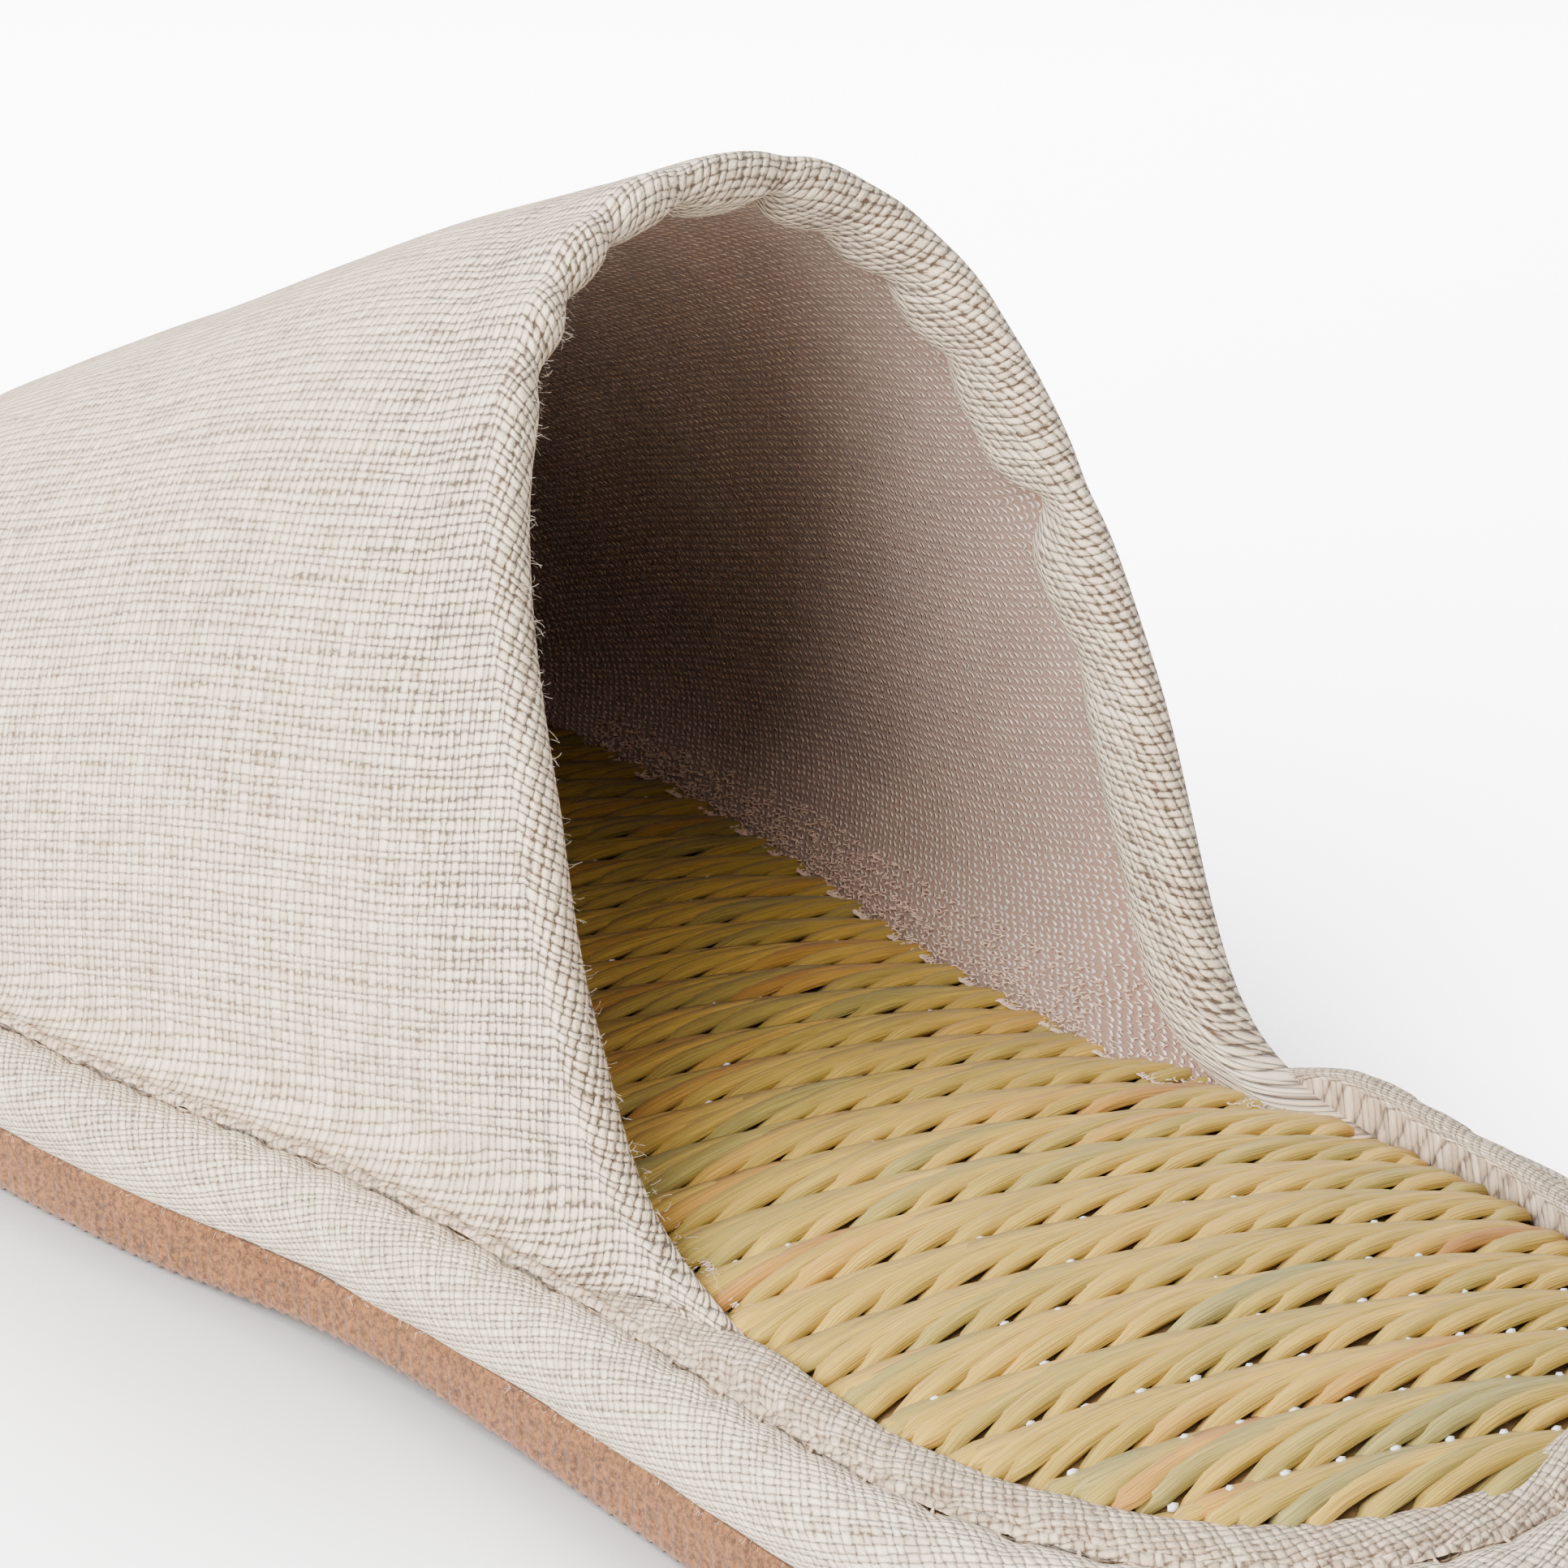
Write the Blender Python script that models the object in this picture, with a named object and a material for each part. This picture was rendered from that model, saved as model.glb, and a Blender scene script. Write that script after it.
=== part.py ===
"""Rush grass slipper: a closed-toe house slipper with a woven rush insole.

The toe points along -X, the heel along +X, and the slipper stands on Z = 0.
Every piece is worked out from the feather line, where the upper meets the sole.
"""
import math
from collections import namedtuple

import bmesh
import bpy

# Driving sizes in metres
LENGTH = 0.268
BALL_WIDTH = 0.1166
INSTEP_HEIGHT = 0.087
OPENING_CORNER = 0.0545
OPENING_TOP = 0.0120
TOE_SPRING = 0.004
ARCH_LIFT = 0.0012

# Sole layers
OUTSOLE_THICK = 0.0070
ROLL_THICK = 0.0080
ROLL_REACH = 0.0090
OUTSOLE_INSET = 0.0010
OUTSOLE_STEP = 0.0006
STRIP_WIDTH = 0.0040
STRIP_THICK = 0.0015
MAT_EDGE_THICK = 0.0018
MAT_CROWN = 0.0045
ROW_PITCH = 0.0080
ROW_RELIEF = 0.0009
ROW_LEAN = 0.34

# Upper and hem
UPPER_WALL = 0.0028
HEM_WIDTH = 0.0105
HEM_THICK = 0.0052
HEM_PROUD = 0.0005
HEM_FULLNESS = 0.65
SECTION_POWER = 2.4
EDGE_POWER = 0.70

# Space left between pieces that touch
GAP = 0.0003
MAT_GAP = 0.0006

# Shares and powers that shape the mat, the upper's tip and the hem's foot
MAT_ROUND = 0.2
MAT_ROUND_POWER = 2.0
MAT_CROWN_POWER = 2.2
ROW_FADE_POWER = 6
ROW_REAR = 0.28
ROW_FRONT = 0.72
ROW_END = 0.05
TIP_SHRINK = 20.0
HEM_RISE = 0.35

# Edges that turn by more than this stay sharp, in degrees
SHARP_ANGLE = 40.0

# How finely the forms are divided
OUTLINE_STEPS = 40
ARCH_STEPS = 24
UPPER_STEPS = 22
HEM_SIDES = 12
MAT_BANDS = 8

# Heights of the layers, from the floor up
ROLL_BASE = OUTSOLE_THICK + GAP
ROLL_TOP = ROLL_BASE + ROLL_THICK
MAT_BASE = ROLL_TOP + GAP
MAT_EDGE_TOP = MAT_BASE + MAT_EDGE_THICK
UPPER_FOOT = MAT_EDGE_TOP + GAP

# The feather line lies inside the roll by the roll's reach
FEATHER_LENGTH = LENGTH - 2 * ROLL_REACH
FEATHER_WIDTH = BALL_WIDTH - 2 * ROLL_REACH

# Sections of the last, from heel (0) to toe (1) along the feather line:
# at is a share of its length, width of the ball width, crown of the instep height
Section = namedtuple("Section", "at width crown")
SECTIONS = (
    Section(0.00, 0.741, 1.16),
    Section(0.13, 0.741, 1.16),
    Section(0.276, 0.738, 1.15),
    Section(0.424, 0.787, 1.005),
    Section(0.542, 0.900, 0.89),
    Section(0.65, 0.970, 0.775),
    Section(0.76, 1.000, 0.664),
    Section(0.86, 1.000, 0.545),
    Section(0.93, 0.985, 0.46),
    Section(1.00, 0.970, 0.40),
)
HEEL_ROUND = 0.18
TOE_ROUND = 0.25
HEEL_POWER = 2.3
TOE_POWER = 2.2
CROWN_ROUND = 0.16
CROWN_POWER = 2.6
ARCH_FROM = 0.24
ARCH_TO = 0.54
SPRING_FROM = 0.72

ProfilePoint = namedtuple("ProfilePoint", "out up")

# Side profile of the outsole: out is a share of its step, up of its thickness
OUTSOLE_PROFILE = (
    ProfilePoint(-2.0, 0.00),
    ProfilePoint(-0.5, 0.07),
    ProfilePoint(0.0, 0.20),
    ProfilePoint(0.0, 0.62),
    ProfilePoint(-1.0, 0.70),
    ProfilePoint(-1.0, 1.00),
)

# Outer side of the strip: out is a share of its width, up of its thickness
STRIP_PROFILE = (
    ProfilePoint(1.000, 0.00),
    ProfilePoint(1.075, 0.50),
    ProfilePoint(0.900, 0.87),
    ProfilePoint(0.500, 1.00),
)

# Side profile of the roll: out is a share of its reach past the strip, up of its thickness
ROLL_PROFILE = (
    ProfilePoint(0.78, 0.00),
    ProfilePoint(0.96, 0.06),
    ProfilePoint(1.00, 0.22),
    ProfilePoint(1.00, 0.42),
    ProfilePoint(0.93, 0.63),
    ProfilePoint(0.76, 0.82),
    ProfilePoint(0.48, 0.95),
    ProfilePoint(0.12, 1.00),
)


def share_at(x):
    """Share of the feather length, from the heel, at X."""
    return min(max(0.5 - x / FEATHER_LENGTH, 0.0), 1.0)


def table_value(at, column):
    """Smooth value of a section column between the rows."""
    rows = SECTIONS
    last = len(rows) - 1
    k = 0
    while k < last - 1 and at > rows[k + 1].at:
        k += 1

    def slope(i):
        low = rows[max(i - 1, 0)]
        high = rows[min(i + 1, last)]
        return (getattr(high, column) - getattr(low, column)) / (high.at - low.at)

    span = rows[k + 1].at - rows[k].at
    t = (at - rows[k].at) / span
    a = getattr(rows[k], column)
    b = getattr(rows[k + 1], column)
    rise = (2 * t**3 - 3 * t**2 + 1) * a + (3 * t**2 - 2 * t**3) * b
    return rise + span * ((t**3 - 2 * t**2 + t) * slope(k) + (t**3 - t**2) * slope(k + 1))


def rounding(distance, reach, power):
    """Superellipse that closes a form over its last stretch."""
    if distance >= reach:
        return 1.0
    return max(1.0 - (1.0 - distance / reach) ** power, 0.0) ** (1.0 / power)


def half_width(at):
    """Half the width of the feather line."""
    ends = rounding(at, HEEL_ROUND, HEEL_POWER) * rounding(1.0 - at, TOE_ROUND, TOE_POWER)
    return 0.5 * FEATHER_WIDTH * table_value(at, "width") * ends


def lift(x):
    """Toe spring at X, the same for every layer."""
    rise = max(share_at(x) - SPRING_FROM, 0.0) / (1.0 - SPRING_FROM)
    return TOE_SPRING * rise**2


def waist(x):
    """Share of the arch at X: none under the heel and the forefoot."""
    along = (share_at(x) - ARCH_FROM) / (ARCH_TO - ARCH_FROM)
    if not 0.0 < along < 1.0:
        return 0.0
    return math.sin(math.pi * along) ** 2


def outline(offset, steps=OUTLINE_STEPS):
    """Closed loop of points at an offset from the feather line, heel, -Y side, toe, +Y side."""
    side = []
    for k in range(steps + 1):
        at = 0.5 * (1.0 - math.cos(math.pi * k / steps))
        side.append((FEATHER_LENGTH * (0.5 - at), -half_width(at)))
    moved = []
    for k, (x, y) in enumerate(side):
        if k in (0, steps):
            moved.append((x + (offset if k == 0 else -offset), 0.0))
            continue
        dx = side[k + 1][0] - side[k - 1][0]
        dy = side[k + 1][1] - side[k - 1][1]
        size = math.hypot(dx, dy)
        moved.append((x - offset * dy / size, y + offset * dx / size))
    return moved + [(x, -y) for x, y in reversed(moved[1:-1])]


def finish(name, mesh_data, colour, roughness, collection):
    """Make the object, its material and its shading."""
    bmesh.ops.recalc_face_normals(mesh_data, faces=mesh_data.faces)
    mesh = bpy.data.meshes.new(name)
    mesh_data.to_mesh(mesh)
    mesh_data.free()
    mesh.shade_smooth()
    mesh.set_sharp_from_angle(angle=math.radians(SHARP_ANGLE))
    obj = bpy.data.objects.new(name, mesh)
    collection.objects.link(obj)
    material = bpy.data.materials.new(name + "_material")
    material.use_nodes = True
    shader = material.node_tree.nodes["Principled BSDF"]
    shader.inputs["Base Color"].default_value = (*colour, 1.0)
    shader.inputs["Roughness"].default_value = roughness
    mesh.materials.append(material)
    return obj


def bridge(bm, first, second):
    """Join two closed rings of the same length with quads."""
    count = len(first)
    for k in range(count):
        after = (k + 1) % count
        bm.faces.new((first[k], first[after], second[after], second[k]))


def cap_across(bm, ring):
    """Close a symmetric ring with strips that run from side to side."""
    count = len(ring)
    half = count // 2
    bm.faces.new((ring[0], ring[1], ring[-1]))
    for k in range(1, half - 1):
        bm.faces.new((ring[k], ring[k + 1], ring[count - k - 1], ring[count - k]))
    bm.faces.new((ring[half - 1], ring[half], ring[half + 1]))


def ring_at(bm, offset, height, arch=0.0):
    """One ring of vertices around the outline at a height above the floor."""
    ring = []
    for x, y in outline(offset):
        ring.append(bm.verts.new((x, y, height + lift(x) + arch * waist(x))))
    return ring


def make_outsole(collection):
    """Outsole: a sheet with a stepped side, an arch underneath and the toe spring."""
    bm = bmesh.new()
    reach = ROLL_REACH - OUTSOLE_INSET
    rings = []
    for point in OUTSOLE_PROFILE:
        out = reach + point.out * OUTSOLE_STEP
        rings.append(ring_at(bm, out, point.up * OUTSOLE_THICK, ARCH_LIFT * (1.0 - point.up)))
    for low, high in zip(rings, rings[1:]):
        bridge(bm, low, high)
    cap_across(bm, rings[0])
    cap_across(bm, rings[-1])
    return finish("outsole", bm, (0.46, 0.27, 0.16), 0.85, collection)


def make_rim_roll(collection):
    """Midsole board with its linen wrap, a rounded roll all around."""
    bm = bmesh.new()
    rings = []
    for point in ROLL_PROFILE:
        out = STRIP_WIDTH + point.out * (ROLL_REACH - STRIP_WIDTH)
        rings.append(ring_at(bm, out, ROLL_BASE + point.up * ROLL_THICK))
    for low, high in zip(rings, rings[1:]):
        bridge(bm, low, high)
    cap_across(bm, rings[0])
    cap_across(bm, rings[-1])
    return finish("rim_roll", bm, (0.75, 0.72, 0.68), 0.9, collection)


def make_edge_strip(collection):
    """Binding strip: a flat ring with a rounded outer edge."""
    bm = bmesh.new()
    base = ROLL_TOP + GAP
    rings = [ring_at(bm, GAP, base)]
    for point in STRIP_PROFILE:
        rings.append(ring_at(bm, point.out * STRIP_WIDTH, base + point.up * STRIP_THICK))
    rings.append(ring_at(bm, GAP, base + STRIP_THICK))
    for low, high in zip(rings, rings[1:] + rings[:1]):
        bridge(bm, low, high)
    return finish("edge_strip", bm, (0.72, 0.67, 0.62), 0.9, collection)


def mat_top(x, y):
    """Height of the mat's crown, without its rows."""
    at = share_at(x)
    width = max(half_width(at), GAP)
    ends = rounding(min(at, 1.0 - at), MAT_ROUND, MAT_ROUND_POWER)
    across = 1.0 - min(abs(y) / width, 1.0) ** MAT_CROWN_POWER
    return MAT_EDGE_TOP + MAT_CROWN * across * ends + lift(x)


def row_place(point):
    """Place along X where the row through a point crosses the middle."""
    return point[0] - ROW_LEAN * point[1]


def row_ends(loop, place):
    """Both ends, near side first, of the row that crosses the middle at a place."""
    ends = []
    for low, high in zip(loop, loop[1:] + loop[:1]):
        first = row_place(low) - place
        last = row_place(high) - place
        if (first < 0.0) == (last < 0.0):
            continue
        t = first / (first - last)
        ends.append((low[0] + (high[0] - low[0]) * t, low[1] + (high[1] - low[1]) * t))
    return sorted(ends, key=lambda end: end[1])


def mat_stations(loop):
    """Places of the mat's cross rows: a groove and two crests for each row."""
    rear = max(row_place(point) for point in loop)
    front = min(row_place(point) for point in loop)
    rows = round((rear - front) / ROW_PITCH)
    pitch = (rear - front) / rows
    stations = [(rear - ROW_END * pitch, 0.0)]
    for row in range(rows):
        start = rear - row * pitch
        stations.append((start - ROW_REAR * pitch, 1.0))
        stations.append((start - ROW_FRONT * pitch, 1.0))
        if row < rows - 1:
            stations.append((start - pitch, 0.0))
    stations.append((front + ROW_END * pitch, 0.0))
    return stations


def make_insole_mat(collection):
    """Crowned rush mat whose leaning cross rows stand up as ridges."""
    bm = bmesh.new()
    loop = outline(0.0)
    tops = []
    bases = []
    for place, ridge in mat_stations(loop):
        near, far = row_ends(loop, place)
        top = []
        for k in range(MAT_BANDS + 1):
            share = -math.cos(math.pi * k / MAT_BANDS)
            t = 0.5 * (1.0 + share)
            x = near[0] + (far[0] - near[0]) * t
            y = near[1] + (far[1] - near[1]) * t
            relief = ROW_RELIEF * (ridge - 1.0) * (1.0 - abs(share) ** ROW_FADE_POWER)
            top.append(bm.verts.new((x, y, mat_top(x, y) + relief)))
        tops.append(top)
        bases.append([bm.verts.new((x, y, MAT_BASE + lift(x))) for x, y in (near, far)])
    for k in range(len(tops) - 1):
        for j in range(MAT_BANDS):
            bm.faces.new((tops[k][j], tops[k + 1][j], tops[k + 1][j + 1], tops[k][j + 1]))
        bm.faces.new((bases[k][0], bases[k][1], bases[k + 1][1], bases[k + 1][0]))
        bm.faces.new((tops[k][0], bases[k][0], bases[k + 1][0], tops[k + 1][0]))
        bm.faces.new((tops[k][-1], tops[k + 1][-1], bases[k + 1][1], bases[k][1]))
    for k in (0, -1):
        bm.faces.new(tops[k] + [bases[k][1], bases[k][0]])
    return finish("insole_mat", bm, (0.56, 0.44, 0.20), 0.6, collection)


def arch(t):
    """Across and up shares of a section at angle t from the -Y foot to the +Y foot."""
    across = -math.copysign(abs(math.cos(t)) ** (2.0 / SECTION_POWER), math.cos(t))
    up = abs(math.sin(t)) ** (2.0 / SECTION_POWER)
    return across, max(up, 0.0)


def upper_point(x, t, inset):
    """Point of the upper at X and angle t, inset from its outer face."""
    across, up = arch(t)
    tip = 0.5 * FEATHER_LENGTH - inset
    at = 0.5 - 0.5 * x / tip if x < 0 else share_at(x)
    width = half_width(at)
    close = rounding(1.0 - at, CROWN_ROUND, CROWN_POWER)
    crown = INSTEP_HEIGHT * table_value(at, "crown") * close
    shrink = min(1.0, TIP_SHRINK * (1.0 - at))
    y = across * max(width - inset * shrink, 0.0)
    foot = UPPER_FOOT + lift(x)
    if inset > 0:
        foot = mat_top(x, max(width - inset, 0.0)) + MAT_GAP
    z = foot + up * max(crown - inset * shrink - (foot - UPPER_FOOT - lift(x)), 0.0)
    return (x, y, z)


def edge_x(t):
    """X of the opening's edge at angle t."""
    across, up = arch(t)
    return OPENING_CORNER + (OPENING_TOP - OPENING_CORNER) * up**EDGE_POWER


def make_upper(collection):
    """Hollow upper: an outer and an inner face closed around the wall."""
    bm = bmesh.new()
    rings = []
    for k in range(UPPER_STEPS + 1):
        along = math.sin(0.5 * math.pi * k / UPPER_STEPS)
        ring = []
        for inset in (0.0, UPPER_WALL):
            tip = -0.5 * FEATHER_LENGTH + inset
            face = []
            for j in range(ARCH_STEPS + 1):
                t = math.pi * j / ARCH_STEPS
                x = edge_x(t) + (tip - edge_x(t)) * along
                face.append(upper_point(x, t, inset))
            ring.append(face)
        rings.append(ring)
    faces = []
    for outer, inner in rings[:-1]:
        faces.append([bm.verts.new(p) for p in outer + inner[::-1]])
    for low, high in zip(faces, faces[1:]):
        bridge(bm, low, high)
    count = len(faces[0])
    for j in range(ARCH_STEPS):
        bm.faces.new((faces[0][j], faces[0][j + 1], faces[0][count - j - 2], faces[0][count - j - 1]))
    outer_tip = bm.verts.new(rings[-1][0][0])
    inner_tip = bm.verts.new(rings[-1][1][0])
    last = faces[-1]
    for j in range(ARCH_STEPS):
        bm.faces.new((last[j], last[j + 1], outer_tip))
        bm.faces.new((last[ARCH_STEPS + 1 + j], last[ARCH_STEPS + 2 + j], inner_tip))
    bm.faces.new((last[0], outer_tip, inner_tip, last[-1]))
    bm.faces.new((last[ARCH_STEPS], last[ARCH_STEPS + 1], inner_tip, outer_tip))
    return finish("upper", bm, (0.66, 0.60, 0.54), 0.9, collection)


def squared(share):
    """Fuller version of a sine or cosine, for a padded section."""
    return math.copysign(abs(share) ** HEM_FULLNESS, share)


def make_hem_roll(collection):
    """Padded hem around the opening, cut from the upper's own function."""
    bm = bmesh.new()
    rings = []
    middle = 0.5 * HEM_THICK - HEM_PROUD
    for j in range(ARCH_STEPS + 1):
        t = math.pi * j / ARCH_STEPS
        ring = []
        for k in range(HEM_SIDES):
            turn = 2 * math.pi * (k + 0.5) / HEM_SIDES
            x = edge_x(t) + GAP + 0.5 * HEM_WIDTH * (1.0 - squared(math.cos(turn)))
            side = 0.5 * HEM_THICK * squared(math.sin(turn))
            ring.append(bm.verts.new(hem_point(x, t, middle - side)))
        rings.append(ring)
    for low, high in zip(rings, rings[1:]):
        bridge(bm, low, high)
    bm.faces.new(rings[0])
    bm.faces.new(rings[-1])
    return finish("hem_roll", bm, (0.70, 0.64, 0.58), 0.9, collection)


def hem_point(x, t, inset):
    """Point of the hem: the upper's section carried on past its edge."""
    across, up = arch(t)
    at = share_at(x)
    y = across * (half_width(at) - inset)
    rise = MAT_CROWN * HEM_RISE
    foot = UPPER_FOOT + rise
    crown = INSTEP_HEIGHT * table_value(at, "crown")
    z = foot + up * (crown - inset - rise)
    return (x, y, z)


def main():
    for obj in list(bpy.data.objects):
        bpy.data.objects.remove(obj)
    collection = bpy.data.collections.new("rush_grass_slipper")
    bpy.context.scene.collection.children.link(collection)
    make_outsole(collection)
    make_rim_roll(collection)
    make_edge_strip(collection)
    make_insole_mat(collection)
    make_upper(collection)
    make_hem_roll(collection)


main()
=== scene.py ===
"""Looks of the rush grass slipper: linen, terry, woven rush and the suede-like outsole.

Everything is in metres in the part's own frame: the toe points along -X, the heel along +X.
"""
import bisect
import functools
import random
from collections import namedtuple
from math import copysign, cos, exp, floor, pi, radians, sin

import bmesh
import bpy
from mathutils import Matrix, Vector, noise


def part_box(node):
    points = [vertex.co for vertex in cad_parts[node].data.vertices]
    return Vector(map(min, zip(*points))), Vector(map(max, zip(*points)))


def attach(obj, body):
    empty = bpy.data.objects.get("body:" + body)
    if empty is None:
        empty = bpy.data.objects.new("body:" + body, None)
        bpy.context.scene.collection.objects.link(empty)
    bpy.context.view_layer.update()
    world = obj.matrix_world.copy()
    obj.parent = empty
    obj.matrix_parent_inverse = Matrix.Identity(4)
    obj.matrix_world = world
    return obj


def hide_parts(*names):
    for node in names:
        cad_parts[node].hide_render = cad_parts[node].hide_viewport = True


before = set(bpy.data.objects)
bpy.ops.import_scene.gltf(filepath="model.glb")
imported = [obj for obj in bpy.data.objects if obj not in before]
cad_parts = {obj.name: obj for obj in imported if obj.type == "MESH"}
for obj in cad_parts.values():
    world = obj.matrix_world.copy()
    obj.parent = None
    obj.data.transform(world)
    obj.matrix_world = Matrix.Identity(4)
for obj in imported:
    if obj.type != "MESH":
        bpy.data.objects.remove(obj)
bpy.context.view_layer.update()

MM = 0.001

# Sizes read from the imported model
ROLL_LOW, ROLL_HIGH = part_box("rim_roll")
MAT_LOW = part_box("insole_mat")[0]
UPPER_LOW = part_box("upper")[0]
STRIP_LOW, STRIP_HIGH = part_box("edge_strip")
LENGTH = ROLL_HIGH[0] - ROLL_LOW[0]
BALL_WIDTH = ROLL_HIGH[1] - ROLL_LOW[1]

# Sizes the slipper's pieces share
GAP = 0.3 * MM
ROLL_REACH = 9.0 * MM
OUTSOLE_INSET = 1.0 * MM
OUTSOLE_THICK = ROLL_LOW[2] - GAP
STRIP_WIDTH = 3.0 * MM
STRIP_BASE = STRIP_LOW[2]
MAT_EDGE = UPPER_LOW[2] - GAP
MAT_CROWN = 4.5 * MM
TOE_SPRING = 4.0 * MM
ARCH_LIFT = 1.2 * MM
INSTEP_HEIGHT = 87.0 * MM
OPENING_CORNER = 54.5 * MM
OPENING_TOP = 12.0 * MM
HEM_WIDTH = 10.5 * MM
SECTION_POWER = 2.4
EDGE_POWER = 0.70
UPPER_FOOT = UPPER_LOW[2]
FEATHER_LENGTH = LENGTH - 2 * ROLL_REACH
FEATHER_WIDTH = BALL_WIDTH - 2 * ROLL_REACH

# Sections of the last from heel (0) to toe (1), as shares of the ball width and the instep
Section = namedtuple("Section", "at width crown")
SECTIONS = [Section(*row) for row in (
    (0.00, 0.741, 1.16), (0.13, 0.741, 1.16), (0.276, 0.738, 1.155),
    (0.424, 0.787, 1.020), (0.542, 0.900, 0.906), (0.65, 0.970, 0.786),
    (0.76, 1.000, 0.664), (0.86, 1.000, 0.545), (0.93, 0.985, 0.46),
    (1.00, 0.970, 0.40),
)]
HEEL_ROUND = 0.18
TOE_ROUND = 0.25
HEEL_POWER = 2.3
TOE_POWER = 2.2
CROWN_ROUND = 0.16
CROWN_POWER = 2.6
SPRING_FROM = 0.72
ARCH_FROM = 0.24
ARCH_TO = 0.54

# Gathers of the hem: share around the arch from the near foot, depth and half width
Gather = namedtuple("Gather", "at depth spread")
GATHERS = [Gather(*row) for row in (
    (0.300, 0.85, 0.017), (0.352, 0.85, 0.015), (0.410, 0.80, 0.014), (0.475, 0.95, 0.014),
    (0.545, 0.95, 0.015), (0.615, 0.35, 0.016), (0.675, 0.40, 0.017), (0.738, 0.40, 0.016),
    (0.822, 1.05, 0.014), (0.885, 0.30, 0.018),
)]

# How far the hand-sewn hem strays from an even line, in millimetres along X
Stray = namedtuple("Stray", "at back")
HEM_STRAY = [Stray(*row) for row in (
    (0.00, -7.0), (0.05, -5.4), (0.12, -3.4), (0.22, -3.6), (0.36, -2.4),
    (0.48, -1.3), (0.60, -1.3), (0.74, 0.2), (0.88, 1.1), (1.00, -2.8),
)]
FOOT_SWEEP_NEAR = 14.0 * MM
FOOT_SWEEP_FAR = 12.0 * MM
HEM_FOLD = 2.3 * MM
HEM_INNER = 8.2 * MM
LINING_INSET = 2.9 * MM
LINING_FOOT = 9.5 * MM
LINING_FOOT_NEAR = 2.5 * MM

# Rush rows and strands
ROW_PITCH = 7.4 * MM
ROW_LEAN = 0.34
WARP_PITCH = 4.55 * MM
STRAND_SPAN = 5.4
STRAND_HALF = 1.42 * MM
STRAND_THICK = 0.74 * MM
STRAND_SINK = 0.95 * MM
ROW_RELIEF = 0.8 * MM

# Cloth scales in millimetres
LINEN_PITCH = 1.0
RIM_PITCH = 0.9
TERRY_ROW = 0.95
TERRY_DASH = 1.00

THREAD_WANDER = 1.25
UPPER_CLOTH = 0.7 * MM
LINING_CLOTH = 0.9 * MM

# How many fibres and loops are drawn
HEM_HAIRS = 620
RIM_FRAYS = 500
TERRY_LOOPS = 3600

# The photograph's camera, in its own 1932 pixel frame
PHOTO_SIZE = 1932
CAMERA_AZIMUTH = 51.98
CAMERA_ELEVATION = 20.19
CAMERA_ROLL = 0.07
CAMERA_FOCAL = 5099.0
CAMERA_DISTANCE = 410.6 * MM
CAMERA_TARGET = Vector((12.2 * MM, 13.3 * MM, 40.0 * MM))


def share_at(x):
    """Share of the feather length, from the heel, at X."""
    return min(max(0.5 - x / FEATHER_LENGTH, 0.0), 1.0)


def table_value(at, column):
    """Smooth value of a section column."""
    rows = SECTIONS
    last = len(rows) - 1
    k = 0
    while k < last - 1 and at > rows[k + 1].at:
        k += 1

    def slope(i):
        low = rows[max(i - 1, 0)]
        high = rows[min(i + 1, last)]
        return (getattr(high, column) - getattr(low, column)) / (high.at - low.at)

    span = rows[k + 1].at - rows[k].at
    t = (at - rows[k].at) / span
    a = getattr(rows[k], column)
    b = getattr(rows[k + 1], column)
    rise = (2 * t**3 - 3 * t**2 + 1) * a + (3 * t**2 - 2 * t**3) * b
    return rise + span * ((t**3 - 2 * t**2 + t) * slope(k) + (t**3 - t**2) * slope(k + 1))


def rounding(distance, reach, power):
    """Superellipse that closes a form over its last stretch."""
    if distance >= reach:
        return 1.0
    return max(1.0 - (1.0 - distance / reach) ** power, 0.0) ** (1.0 / power)


def half_width(at):
    """Half the width of the feather line."""
    ends = rounding(at, HEEL_ROUND, HEEL_POWER) * rounding(1.0 - at, TOE_ROUND, TOE_POWER)
    return 0.5 * FEATHER_WIDTH * table_value(at, "width") * ends


def lift(x):
    """Toe spring at X."""
    rise = max(share_at(x) - SPRING_FROM, 0.0) / (1.0 - SPRING_FROM)
    return TOE_SPRING * rise**2


def waist(x):
    """Share of the arch at X."""
    along = (share_at(x) - ARCH_FROM) / (ARCH_TO - ARCH_FROM)
    if not 0.0 < along < 1.0:
        return 0.0
    return sin(pi * along) ** 2


def smooth(low, high, value):
    """Soft step from 0 at low to 1 at high."""
    t = min(max((value - low) / (high - low), 0.0), 1.0)
    return t * t * (3 - 2 * t)


def lumps(x, y, z, size, seed=0.0):
    """Soft lumps of a size in metres, from -1 to 1."""
    return noise.noise(Vector((x / size + seed, y / size - seed, z / size)))


def make_feather():
    """The feather line: points, outward normals and the run so far."""
    side = []
    steps = 360
    for k in range(steps + 1):
        at = 0.5 * (1.0 - cos(pi * k / steps))
        side.append(Vector((FEATHER_LENGTH * (0.5 - at), -half_width(at), 0.0)))
    loop = side + [Vector((p.x, -p.y, 0.0)) for p in reversed(side[1:-1])]
    points = []
    run = 0.0
    for k, p in enumerate(loop):
        after = loop[(k + 1) % len(loop)]
        along = after - loop[k - 1]
        out = Vector((-along.y, along.x, 0.0)).normalized()
        if out.dot(p) < 0:
            out = -out
        points.append((p, out, run))
        run += (after - p).length
    return points, run


FEATHER, FEATHER_RUN = make_feather()
RUNS = [run for _, _, run in FEATHER]


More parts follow.
